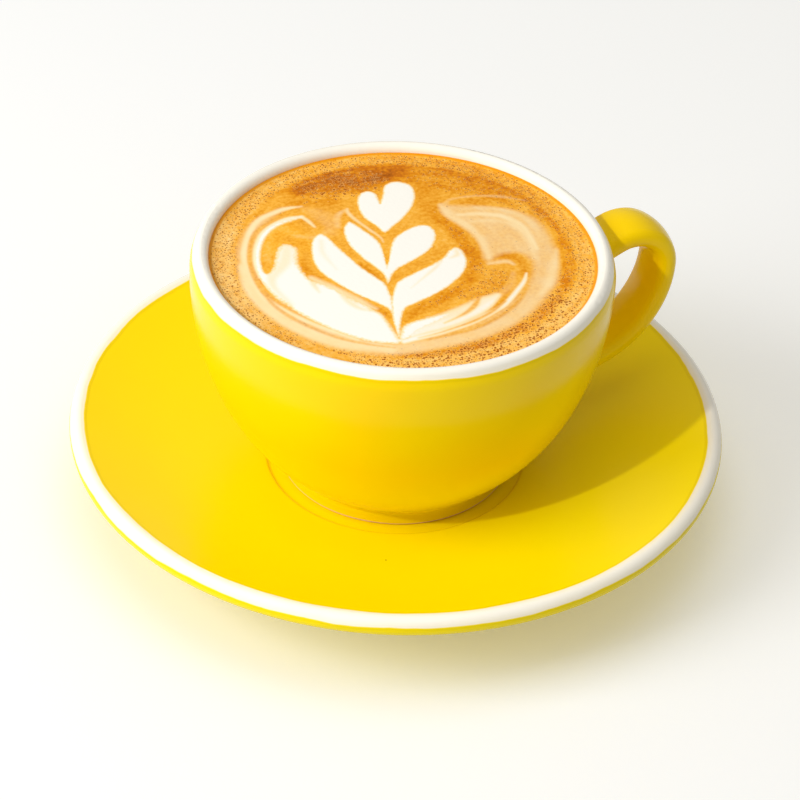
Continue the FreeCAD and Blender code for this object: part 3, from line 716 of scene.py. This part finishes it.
# %% Films
film = lay_strokes(np.zeros(len(across)), [
    (0.6, 1, 0.9, [(-4.1, 9.2, 0.8), (-4, 3, 0.5), (-3.5, -1, 0.4), (-3.5, -5, 0.1)]),
    (0.35, 1, 0.9, [(-2.4, -10, 0.2), (-2.4, -13, 0.3), (-1.8, -17, 0.1)]),
    (0.85, 1, 1.2, [(16.6, -15.8, 0.4), (15.4, -18, 0.9), (14, -20.2, 0.8), (12, -22.4, 0.5),
        (9.3, -24.4, 0.2)]),
    (0.42, 1, 1.8, [(8.5, -1, 0.3), (7, -4, 0.5), (4.5, -8, 0.3), (2, -12, 0.1)]),
    (0.5, 1, 2.4, [(-20.5, -9, 0.5), (-19.4, -12, 0.7), (-18, -15, 0.2)]),
    (0.42, 1, 2.2, [(-14, -14.5, 0.3), (-11.5, -18, 0.9), (-9, -20.4, 0.7), (-6, -21.4, 0.3)]),
    (0.35, 1, 1.4, [(-6, -20.6, 0.4), (-3.8, -23, 0.7), (-2.2, -27, 0.2)]),
    (0.35, 1, 2, [(-29.6, -7, 0.6), (-28.9, -10.5, 0.7), (-28, -14, 0.2)]),
    (0.36, 1, 3, [(-26, 3, 1.5), (-26.2, -4, 1.8), (-28.5, -12, 1), (-24, -20, 0.8)]),
    (0.3, 1, 2.5, [(-18.5, 5, 0.8), (-17.8, 0, 0.8), (-14.5, -6, 0.3)]),
    (0.4, 1, 2, [(2, -24.4, 0.3), (6, -22.8, 0.5), (11, -20, 0.7), (14.5, -17, 0.6)]),
    (0.4, 1, 2, [(11.6, 4, 0.6), (12, 2, 0.8), (10.5, 0.5, 0.4)])])
print("films over", round(100 * float((film > 0.15).mean())), "% of the surface")

# %% [markdown]
# ## Roast
# The crema isn't one colour. Where more coffee came up it is darker, and those bands follow the pour: a
# dark patch at the top left, a ring along the wall, a channel down the right of the leaves, and thin
# threads that outline the folds. This field runs from pale, 0, to dark, 1.

# %% Roast: the top and the ring along the wall
roast = np.full(len(across), 0.54)
roast = lay_strokes(roast, [
    # Brown foam at the top, darkest on its left.
    (0.68, 0.95, 4, [(-3, 35, 4), (6, 34, 4.5), (13, 32, 4.5), (20, 29.5, 4), (26, 26, 2.5)]),
    (0.64, 0.9, 3, [(4, 30, 3), (5, 24, 2.5), (6.5, 18, 2)]),
    (0.9, 0.95, 6.5, [(-25, 26, 1), (-21, 28.5, 3), (-15, 31, 4), (-9, 32, 4), (-3, 34.5, 2.5)]),
    (0.8, 0.85, 3.5, [(-25, 24.3, 0.6), (-20, 25.6, 1.6), (-14, 26.8, 1.6), (-9, 27, 1)]),
    (0.7, 0.8, 3.5, [(-26.5, 20.5, 0.8), (-22.5, 20.5, 1.4), (-17, 22, 1.4)]),
    (0.58, 0.8, 3, [(-31, 21, 1.5), (-33, 15, 1)]),
    # The ring along the wall, from the top round to the left.
    (0.82, 0.75, 2.4, [(-28.5, 25.2, 0.3), (-24, 29.3, 0.8), (-16, 34.4, 0.9), (-7, 37.3, 0.9),
        (4, 38, 0.9), (13, 36.6, 1.2), (20, 33.2, 1.2), (26, 28.6, 1.2), (30, 24, 1.2), (33, 18.5, 0.9)]),
    (0.72, 0.9, 2.2, [(33, 19, 0.9), (35.6, 12, 1.4), (37, 4, 1.5), (37.2, -4, 1.6), (35.6, -11.4, 1.6),
        (32.2, -18.4, 1.5), (28, -24.2, 1.4), (22.2, -29.4, 1.3), (15.2, -33.4, 1.1), (7.2, -36.4, 0.9),
        (-1, -38, 0.8)]),
    (0.6, 0.7, 1.8, [(-1, -38.1, 0.8), (-10, -37.6, 0.7), (-19.2, -34.2, 0.8), (-27.4, -27.8, 0.8),
        (-33.4, -19.4, 0.5), (-37.4, -9, 0.2), (-38, 0, 0.2), (-37.2, 8, 0.6), (-34.6, 15, 0.8)])])
print("mean roast", round(float(roast.mean()), 3))

# %% Roast: channels, threads and the wall
OVER_WALL = 44.0
roast = lay_strokes(roast, [
    # Above the petal, and down the channel on the right of the leaves.
    (0.6, 0.7, 1.6, [(10, 23.6, 0.6), (16, 24.6, 0.9), (22, 24.8, 0.9), (28, 23.6, 0.5)]),
    (0.7, 0.9, 2.4, [(6.5, 20, 0.8), (8, 16, 1.4), (11, 11.5, 1.6), (13.2, 7.5, 1.7), (15, 3, 1.8),
        (16.2, -2, 1.5), (15.6, -6, 1.4), (13.5, -10.6, 1.4), (10, -14.8, 1.4), (6, -18.2, 1.3),
        (3.2, -20.8, 1), (1.5, -24.5, 0.4)]),
    (0.72, 0.5, 2.6, [(11, 10.5, 0.8), (13.2, 6.5, 0.9), (14.8, 2.5, 0.8)]),
    # Hollows in the base, and the gap below the petal's foot.
    (0.44, 0.8, 2, [(-29.6, 10, 0.8), (-30, 3, 0.9), (-29.8, -3, 0.6)]),
    (0.48, 0.8, 3, [(-27, 9, 1), (-24, 7, 1.5)]),
    (0.6, 0.8, 4, [(17.5, -4, 1.5), (20.5, -6, 2.5), (20.5, -9.5, 2.5), (16.5, -12.5, 2)]),
    (0.7, 0.9, 1.6, [(20.6, 1.6, 0.6), (22.6, 2.4, 1.1), (25, 2, 1.1), (26.6, -1, 0.8), (27.2, -4, 0.4)]),
    # Threads along the pages and the swirl.
    (0.62, 0.8, 0.9, [(22.4, -15, 0.2), (20.6, -18, 0.3), (18.2, -20.8, 0.3), (15.6, -23, 0.3),
        (12.4, -25.2, 0.3), (8.6, -27.4, 0.3), (4.5, -29.6, 0.2)]),
    (0.5, 0.8, 1.2, [(27.8, -8, 0.3), (26.6, -12, 0.5), (24.6, -16, 0.5), (21.6, -20, 0.5),
        (18, -23.6, 0.5), (13.6, -26.8, 0.4), (8, -29.8, 0.3)]),
    (0.56, 0.95, 0.8, [(-24, 16.2, 0.2), (-26.2, 15.4, 0.5), (-28.3, 13.9, 0.5), (-30.2, 12, 0.5),
        (-32.9, 8.4, 0.4), (-34, 3.8, 0.4), (-34, -2.2, 0.4), (-32.9, -8.3, 0.4), (-30.2, -15.3, 0.4),
        (-26.2, -19.5, 0.4), (-19, -24.8, 0.3), (-13.5, -28.2, 0.2)]),
    # Dark corners where the leaves meet.
    (0.84, 0.75, 1.8, [(-9.6, -3.4, 0.4), (-7, -6.6, 0.5), (-5, -9, 0.2)]),
    (0.7, 0.8, 2.6, [(-22, -3, 0.6), (-20.8, -7.4, 1.1), (-18, -9.6, 0.4)]),
    (0.72, 0.8, 1.8, [(-8, -18.6, 0.4), (-5.2, -20.2, 0.7), (-3.2, -22.4, 0.3)]),
    (0.58, 0.7, 2, [(7.6, 18.6, 0.6), (8.4, 16.4, 0.8)]),
    (0.66, 0.6, 1.6, [(-24.5, 9.5, 0.4), (-25.5, 11.2, 0.5)])])
for inner, soft, centre, width, side_soft, level in (
        (38.6, 1.4, 20, 100, 40, 0.48), (38.6, 1.4, 68, 46, 30, 0.62), (38.6, 1.4, 140, 90, 40, 0.47),
        (38.0, 1.6, 194, 70, 30, 0.30), (37.6, 2.0, -60, 110, 40, 0.38)):
    roast = lay(roast, 0.9 * ring(inner, OVER_WALL, soft) * sector(centre, width, side_soft), level)
roast = lay_strokes(roast, [(0.50, 0.8, 2.6, [(-21, -34.8, 1.2), (-16, -37.4, 1.6), (-11, -39, 1.4)])])
roast = lay(roast, 0.7 * ring(36.5, OVER_WALL, 2.0) * sector(243, 26, 16), 0.49)
print("mean roast", round(float(roast.mean()), 3))

# %% [markdown]
# ## Amber
# Close to milk, and in the channels, the crema is a clearer, redder amber, and elsewhere it is dull. So
# this field starts from the distance to the milk, and bands are laid over it. It runs from dull, 0, to
# clear, 1, and mixes two ramps of brown later on.

# %% Amber
to_milk = np.maximum(milk, 1.6 * (veil - 0.55))
amber = np.clip(1 + to_milk / 3.2, 0, 1) ** 1.3 * 0.9
amber = lay(amber, 0.9 * fade(petal, 3.0), 0.05)
amber = lay(amber, 0.8 * ring(38.0, OVER_WALL, 1.6) * sector(200, 90, 40), 0.2)
amber = lay_strokes(amber, [
    (1, 0.95, 2.5, [(33, 19, 1), (37, 4, 2), (36.6, -8, 2.2), (32.4, -18.4, 2), (24.6, -27.4, 1.6)]),
    (0.75, 0.9, 3, [(8, 17, 1.5), (14.5, 4, 2), (15, -8, 1.6), (6, -18.2, 1.6)]),
    (1, 0.9, 3, [(-29.5, 9, 1), (-30, 0, 1.2), (-26, 10, 2), (-21.5, 2, 1.5)]),
    (0.45, 0.8, 4, [(-18, 18, 3), (-20, 13, 3)]),
    (0.35, 0.8, 4, [(-24, 27, 2), (-12, 29, 2)])])
print("mean amber", round(float(amber.mean()), 3))

# %% [markdown]
# ## Froth
# Against the wall, and where the surface was left alone, the foam is full of bubbles. The froth field says
# how many there are, and the milk and the petal have next to none. A second field says where they are
# coarse.

# %% Froth
FROTH_OUT = 42.4
froth = np.zeros(len(across))
for mask, level in (
        (ring(38.4, FROTH_OUT, 1.2), 0.85),
        (ring(33.8, FROTH_OUT, 3.0) * sector(-50, 80, 24), 1.0),
        (ring(37.2, FROTH_OUT, 1.4) * sector(-88, 34, 14), 1.0),
        (ring(36.5, FROTH_OUT, 2.0) * sector(196, 56), 0.75),
        (stroke(1.0, 5.0, [(-24, 26.5, 1.5), (-17, 30, 3.5), (-9, 31, 3.5)]), 0.90),
        (stroke(1.0, 4.0, [(-22, 23, 1.5), (-14, 25.5, 2)]), 0.60),
        (stroke(1.0, 5.0, [(3, 34, 3), (12, 32, 4), (20, 29, 4), (27, 25, 3), (33, 18, 1.5)]), 0.34),
        (ring(36.8, 42.0, 2.0) * sector(20, 50), 0.7),
        (stroke(1.0, 3.0, [(16.5, -3, 1.5), (20.5, -6, 2.5), (19, -10, 2.5), (13.5, -14, 1.5)]), 0.55),
        (stroke(1.0, 2.5, [(8, 19, 1), (11.5, 10.5, 1.5), (14.5, 3, 1.5), (11, -13.5, 1), (5, -18.5, 1)]),
         0.22),
        (stroke(1.0, 2.0, [(-20.5, -34.8, 1), (-16, -37.2, 1.5), (-11.5, -38.6, 1.2)]), 0.0),
        (fade(petal, 2.0), 0.02),
        (fade(milk + 0.6, 1.0), 0.0)):
    froth = lay(froth, mask, level)
coarse = ring(33.0, 43.0, 2.0) * sector(-58, 96, 20) + 0.5 * sector(118, 60) * ring(26, 37, 3)
coarse = np.clip(coarse, 0, 1)
print("froth over", round(100 * float((froth > 0.5).mean())), "% of the surface")

# %% [markdown]
# ## Milk and crema, as colours
# The mesh carries its fields at every point, and the material turns them into colour. The milk's edge is
# sharpened here, with a little noise so that it frays, and two ramps from pale to dark, a dull one and a
# clear one, give the crema. Both get clouds and long streaks from noise, because foam is never even.

# %% Drink material: milk and crema
MILK = paint(250, 247, 237)
CREAM = paint(253, 226, 172)
STREAK_SCALE = 0.16
WET_LINE = paint(230, 146, 8)
DULL = ((0.0, paint(253, 220, 172)), (0.25, paint(249, 202, 122)), (0.5, paint(240, 174, 70)),
        (0.68, paint(223, 144, 26)), (0.84, paint(192, 108, 8)), (1.0, paint(146, 76, 6)))
CLEAR = ((0.0, paint(254, 219, 152)), (0.3, paint(254, 201, 100)), (0.5, paint(251, 181, 52)),
         (0.7, paint(232, 147, 12)), (0.84, paint(212, 118, 14)), (1.0, paint(168, 86, 8)))

drink_finish, tree, principled = new_material("drink_surface")


def stored(name):
    return add(tree, "ShaderNodeAttribute", attribute_name=name).outputs["Fac"]


def ramp_of(value, stops):
    """A colour ramp node with the given stops."""
    node = add(tree, "ShaderNodeValToRGB", {"Fac": value})
    for i, (at, colour) in enumerate(stops):
        stop = node.color_ramp.elements[i] if i < 2 else node.color_ramp.elements.new(at)
        stop.position = at
        stop.color = colour
    return node.outputs["Color"]


where = use(tree, turned_place)
place, radius = where["Place"], where["Radius"]
fine = noise(tree, place, 0.9, detail=3)
cloud = noise(tree, place, 4.5, detail=3)
drawn_x, drawn_y, _ = parts_of(tree, scaled(tree, place, STREAK_SCALE))
streak = centred(tree, noise(tree, vector_of(tree, drawn_x, drawn_y, radius), 1.3, detail=3))
crisp = ramp(tree, plus(tree, stored("milk_depth"), times(tree, centred(tree, fine), 0.7)), -0.40, 0.75)
thick = minus(tree, crisp, stored("crema_film"))
cloudy = maths(tree, "MULTIPLY_ADD", streak, 0.14, times(tree, centred(tree, cloud), 0.18))
thin = plus(tree, stored("milk_veil"), cloudy)
milky = larger(tree, thick, times(tree, thin, ramp(tree, stored("milk_veil"), 0.0, 0.1)))

mottle = times(tree, centred(tree, fine), 0.50)
mottle = maths(tree, "MULTIPLY_ADD", centred(tree, cloud), 0.34, mottle)
mottle = maths(tree, "MULTIPLY_ADD", times(tree, streak, ramp(tree, radius, 27, 34)), 0.40, mottle)
roasted = plus(tree, stored("roast"), mottle)
crema = blend(tree, stored("amber"), ramp_of(roasted, DULL), ramp_of(roasted, CLEAR))
print("milk and crema in", len(tree.nodes), "nodes")

# %% [markdown]
# ## Bubbles, as colours
# Most of the froth's bubbles are cells of a Voronoi texture: a cell holds a bubble if its own random number
# is below the froth field, so the field sets how many there are and not how strongly they show. Each has a
# shaded pit and a pale rim. The modelled bubbles, further down, bring an attribute of their own, hollow,
# and share the same two colours. Milk is laid over them, and a wet line where the drink meets the wall.
# Foam is matt, so the gloss is one low number, which also survives the export.

# %% Drink material: bubbles and gloss
BUBBLE_SHADE = paint(166, 84, 0)
BUBBLE_RIM = paint(255, 212, 132)
FINE_BUBBLE = 0.66
COARSE_BUBBLE = 0.84


def bubbles(size, least, amount):
    """Pits and rims of bubbles in cells of a size in mm, where the froth allows."""
    values = {"Vector": place, "Scale": 1 / size, "Randomness": 0.85}
    cells = add(tree, "ShaderNodeTexVoronoi", values).outputs
    lot = add(tree, "ShaderNodeSeparateColor", {0: cells["Color"]}).outputs
    there = maths(tree, "LESS_THAN", lot[0], amount)
    width = maths(tree, "MULTIPLY_ADD", lot[1], 0.16, least)
    pit = ramp(tree, maths(tree, "DIVIDE", cells["Distance"], width), 1.15, 0.65)
    rim = ramp(tree, maths(tree, "DIVIDE", cells["Distance"], width), 1.8, 1.2)
    return times(tree, pit, there), times(tree, rim, there)


froth_here = times(tree, stored("froth"), ramp(tree, cloud, 0.3, 0.55, 0.7, 1.0))
coarse_here = times(tree, froth_here, stored("coarse"))
fine_here = minus(tree, froth_here, times(tree, coarse_here, 0.4))
pit, rim = bubbles(FINE_BUBBLE, 0.22, fine_here)
big_pit, big_rim = bubbles(COARSE_BUBBLE, 0.28, coarse_here)
hollow = stored("hollow")
pit = larger(tree, larger(tree, pit, big_pit), hollow)
rim = larger(tree, larger(tree, rim, big_rim), times(tree, hollow, -1.0))
wet = ramp(tree, radius, BORE - 0.95, BORE - 0.45)
coat = crema
for amount, colour in ((times(tree, rim, 0.30), BUBBLE_RIM), (times(tree, pit, 0.95), BUBBLE_SHADE),
                       (ramp(tree, milky, 0.0, 0.5), CREAM), (ramp(tree, milky, 0.4, 0.95), MILK),
                       (times(tree, wet, 0.85), WET_LINE)):
    coat = blend(tree, amount, coat, colour)
relief = plus(tree, times(tree, fine, 0.04), times(tree, crisp, 0.05))
relief = plus(tree, minus(tree, relief, times(tree, pit, 0.01)), times(tree, rim, 0.01))
bump = add(tree, "ShaderNodeBump", {"Height": relief, "Distance": MM})
join(tree, principled, {
    "Base Color": coat, "Roughness": ramp(tree, milky, 0.0, 1.0, 0.40, 0.5), "Normal": bump.outputs[0],
    "IOR": 1.36, "Specular IOR Level": 0.12})
print("drink material has", len(tree.nodes), "nodes")

# %% [markdown]
# ## The drink's piece
# Disc, sides and bottom become one closed mesh. The sides run down the bowl's rings, each a little smaller,
# with as many points as the disc's edge, and close on a single point at the bottom.

# %% Build the drink
RING_STEP = 4


def rounded_mesh(name, points, faces):
    """A mesh that is shaded smooth."""
    mesh = bpy.data.meshes.new(name)
    mesh.from_pydata(points, [], faces)
    mesh.polygons.foreach_set("use_smooth", [True] * len(mesh.polygons))
    return mesh


def store(mesh, name, values):
    """Keeps a number at each point of a mesh."""
    mesh.attributes.new(name, "FLOAT", "POINT").data.foreach_set("value", values)


sides = bowl[::-RING_STEP]
count = 6 * DISC_RINGS
edge_start = len(disc) - count
turns = np.arange(count) * (2 * math.pi / count)
points = [np.column_stack([disc, surface])]
for height, radius in sides:
    points.append(np.column_stack([radius * np.cos(turns), radius * np.sin(turns), np.full(count, height)]))
points.append(np.array([[0.0, 0.0, drink_low.z / MM]]))
points = np.vstack(points)
faces = [tuple(map(int, f)) for f in disc_faces]
starts = [edge_start] + [len(disc) + i * count for i in range(len(sides))]
for upper, lower in zip(starts, starts[1:]):
    for j in range(count):
        k = (j + 1) % count
        faces.append((upper + j, lower + j, lower + k, upper + k))
for j in range(count):
    faces.append((starts[-1] + j, len(points) - 1, starts[-1] + (j + 1) % count))

drink_mesh = rounded_mesh("drink_body", (points * MM).tolist(), faces)
for name, values, rest in (("milk_depth", milk, FAR_OUTSIDE), ("milk_veil", veil, 0.0),
                           ("crema_film", film, 0.0), ("roast", roast, 0.5), ("amber", amber, 0.5),
                           ("froth", froth, 0.0), ("coarse", coarse, 0.0)):
    store(drink_mesh, name, np.concatenate([values, np.full(len(points) - len(disc), rest)]))
drink_mesh.materials.append(drink_finish)
drink_body = new_object("drink_body", drink_mesh)
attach(drink_body, "root")
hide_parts("cappuccino")
print("drink", len(points), "points,", sum(len(f) - 2 for f in faces), "triangles")

# %% [markdown]
# ## Bubbles, as shapes
# Some thousands of the froth's bubbles stand up, so they are modelled: a low lip round a hollow, in a few
# dozen triangles. An attribute tells the drink's own material which part is hollow and which is lip.

# %% One bubble
LIP_SIDES = 8
LIP_RINGS = ((1.0, 0.0, 0.0), (0.80, 0.26, -1.0), (0.52, 0.10, 0.7))
HOLLOW_FLOOR = 0.04
UNDERSIDE = -0.10


def bubble_lip():
    """A low closed crater of radius 1. Its rings are radius, height and hollow, from the foot inwards, and
    hollow is above 0 in the crater and -1 on its lip."""
    points, hollows = [(0.0, 0.0, HOLLOW_FLOOR)], [1.0]
    for radius, height, hollow in LIP_RINGS[::-1]:
        for i in range(LIP_SIDES):
            turn = 2 * math.pi * i / LIP_SIDES
            points.append((radius * math.cos(turn), radius * math.sin(turn), height))
            hollows.append(hollow)
    points.append((0.0, 0.0, UNDERSIDE))
    hollows.append(0.0)
    faces = []
    for i in range(LIP_SIDES):
        a, b = 1 + i, 1 + (i + 1) % LIP_SIDES
        faces.append((0, a, b))
        for step in range(len(LIP_RINGS) - 1):
            lower, upper = step * LIP_SIDES, (step + 1) * LIP_SIDES
            faces.append((a + lower, a + upper, b + upper, b + lower))
        foot = (len(LIP_RINGS) - 1) * LIP_SIDES
        faces.append((len(points) - 1, b + foot, a + foot))
    mesh = rounded_mesh("bubble_lip", points, faces)
    store(mesh, "hollow", hollows)
    return new_object("bubble_lip", mesh)


lip_object = bubble_lip()
print("a bubble has", len(lip_object.data.vertices), "points and", len(lip_object.data.polygons), "faces")

# %% [markdown]
# ## Scattering the bubbles
# Thousands of bubbles follow one rule, so Geometry Nodes place them: they scatter points over the drink,
# keep a gap between them, and put more where the froth field is high. Each bubble takes the fields of the
# spot it stands on, so the drink's material fits it. Instances are realized into one plain mesh. Instances
# are realized, because the export drops them.

# %% Group: crema bubbles
MM2_IN_M2 = 1e6
crema_bubbles, given, answers = new_group(
    "crema_bubbles",
    {"Drink": "Geometry", "Bubble": "Object", "Most per mm2": "Float", "Gap": "Float", "Smallest": "Float",
     "Biggest": "Float", "Seed": "Int", "Finish": "Material"},
    {"Bubbles": "Geometry"}, tree_kind="GeometryNodeTree")
froth_there = add(crema_bubbles, "GeometryNodeInputNamedAttribute", {"Name": "froth"}, data_type="FLOAT")
per_square_metre = times(crema_bubbles, given["Most per mm2"], MM2_IN_M2)
scatter = add(crema_bubbles, "GeometryNodeDistributePointsOnFaces",
              {"Mesh": given["Drink"], "Distance Min": times(crema_bubbles, given["Gap"], MM),
               "Density Max": per_square_metre, "Density Factor": froth_there.outputs[0],
               "Seed": given["Seed"]}, distribute_method="POISSON").outputs
lot = add(crema_bubbles, "FunctionNodeRandomValue", {"Seed": given["Seed"]}, data_type="FLOAT").outputs[1]
mostly_small = maths(crema_bubbles, "POWER", lot, 2.0)
spread = minus(crema_bubbles, given["Biggest"], given["Smallest"])
bubble_radius = maths(crema_bubbles, "MULTIPLY_ADD", mostly_small, spread, given["Smallest"])
size = vector_of(crema_bubbles, *[times(crema_bubbles, bubble_radius, MM) for _ in range(3)])
lip = add(crema_bubbles, "GeometryNodeObjectInfo", {"Object": given["Bubble"]}).outputs["Geometry"]
placed = add(crema_bubbles, "GeometryNodeInstanceOnPoints",
             {"Points": scatter["Points"], "Instance": lip, "Rotation": scatter["Rotation"], "Scale": size})
solid = add(crema_bubbles, "GeometryNodeRealizeInstances", {"Geometry": placed.outputs[0]}).outputs[0]
dressed = add(crema_bubbles, "GeometryNodeSetMaterial", {"Geometry": solid, "Material": given["Finish"]})
join(crema_bubbles, answers, {"Bubbles": dressed.outputs[0]})
print("group", crema_bubbles.name, len(crema_bubbles.nodes), "nodes")

# %% [markdown]
# ## From modifier to mesh
# A modifier's inputs are set by their sockets' identifiers, before it is first evaluated. The result is
# then kept as a plain mesh and the modifier goes. The seed is fixed, so the same bubbles come back.

# %% Scatter the bubbles
froth_bubbles = new_object("froth_bubbles", drink_mesh)
scattering = froth_bubbles.modifiers.new("crema_bubbles", "NODES")
scattering.node_group = crema_bubbles
values = {"Bubble": lip_object, "Most per mm2": 5.0, "Gap": 0.42, "Smallest": 0.13, "Biggest": 0.32,
          "Seed": 7, "Finish": drink_finish}
for socket in crema_bubbles.interface.items_tree:
    if socket.name in values:
        scattering[socket.identifier] = values[socket.name]
evaluated = froth_bubbles.evaluated_get(bpy.context.evaluated_depsgraph_get())
bubble_mesh = bpy.data.meshes.new_from_object(evaluated)
froth_bubbles.modifiers.clear()
froth_bubbles.data = bubble_mesh
bpy.data.objects.remove(lip_object)
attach(froth_bubbles, "root")
each = LIP_SIDES * 2 * len(LIP_RINGS)
triangles = sum(len(f.vertices) - 2 for f in bubble_mesh.polygons)
print("bubbles", triangles // each, "triangles", triangles, [a.name for a in bubble_mesh.attributes])

# %% [markdown]
# ## Floor and sky
# The object stands on a pale table with no edge in sight. The floor takes the shadows as any white board
# does, and adds a little light of its own, seen only by the camera, in reflections and through glass, so
# that it reads as white where nothing shades it and yet doesn't light the object. The sky is plain white
# and faint: it opens the shadows from all round.

# %% Floor and sky
FLOOR_REACH = 4.0
FLOOR_BOARD = (0.90, 0.93, 0.99, 1.0)
FLOOR_GLOW = (0.24, 0.215, 0.15, 1.0)
SKY_LIGHT = 0.36


def seen(tree):
    """1 for rays from the camera, in reflections and through glass, otherwise 0."""
    path = add(tree, "ShaderNodeLightPath").outputs
    direct = larger(tree, path["Is Camera Ray"], path["Is Glossy Ray"])
    return larger(tree, direct, path["Is Transmission Ray"])


corners = [(x * FLOOR_REACH, y * FLOOR_REACH, 0.0) for x, y in ((-1, -1), (1, -1), (1, 1), (-1, 1))]
floor_mesh = bpy.data.meshes.new("floor")
floor_mesh.from_pydata(corners, [], [(0, 1, 2, 3)])
floor = new_object("floor", floor_mesh)
board, board_tree, principled = new_material("floor_board")
join(board_tree, principled, {
    "Base Color": FLOOR_BOARD, "Roughness": 0.9, "Specular IOR Level": 0.2,
    "Emission Color": FLOOR_GLOW, "Emission Strength": seen(board_tree)})
floor_mesh.materials.append(board)

sky = bpy.data.worlds.new("sky")
sky.use_nodes = True
join(sky.node_tree, sky.node_tree.nodes["Background"].inputs,
     {"Color": (1.0, 1.0, 1.0, 1.0), "Strength": SKY_LIGHT})
bpy.context.scene.world = sky
print("floor", 2 * FLOOR_REACH, "m across, sky light", SKY_LIGHT)

# %% [markdown]
# ## Lamps
# A large soft lamp stands to the left, and a second one overhead opens the shadows. A small hard lamp, to
# the left and in front, draws the crisp edge that the cup's shadow has on the saucer. It is flagged off
# the table, as is done in a studio with a black card: light linking limits it to the object, so the
# table keeps its soft shadows. No lamp shows in the glaze: what shines there is the white room.


# %% Lamps
def lamp(name, place, width, watts, colour, lights_only=()):
    """A square soft light at a place, turned to face the cup. It may be limited to some pieces."""
    light = bpy.data.lights.new(name, "AREA")
    light.size = width
    light.energy = watts
    light.color = colour
    stand = new_object(name, light)
    stand.location = place
    stand.rotation_euler = (AIM - Vector(place)).to_track_quat("-Z", "Y").to_euler()
    stand.visible_glossy = False
    if lights_only:
        flagged = bpy.data.collections.new(name + "_lights")
        for piece in lights_only:
            flagged.objects.link(piece)
        stand.light_linking.receiver_collection = flagged


lamp("soft_key", (-0.85, 0.05, 0.55), 0.6, 6.2, (1.0, 0.99, 0.97))
lamp("hard_key", (-0.76, -0.34, 0.76), 0.03, 4.0, (1.0, 0.985, 0.955),
     lights_only=(saucer, cup, drink_body, froth_bubbles))
lamp("overhead", (0.0, 0.10, 1.20), 1.0, 3.2, (1.0, 0.99, 0.97))
bpy.context.scene.view_settings.view_transform = "Standard"
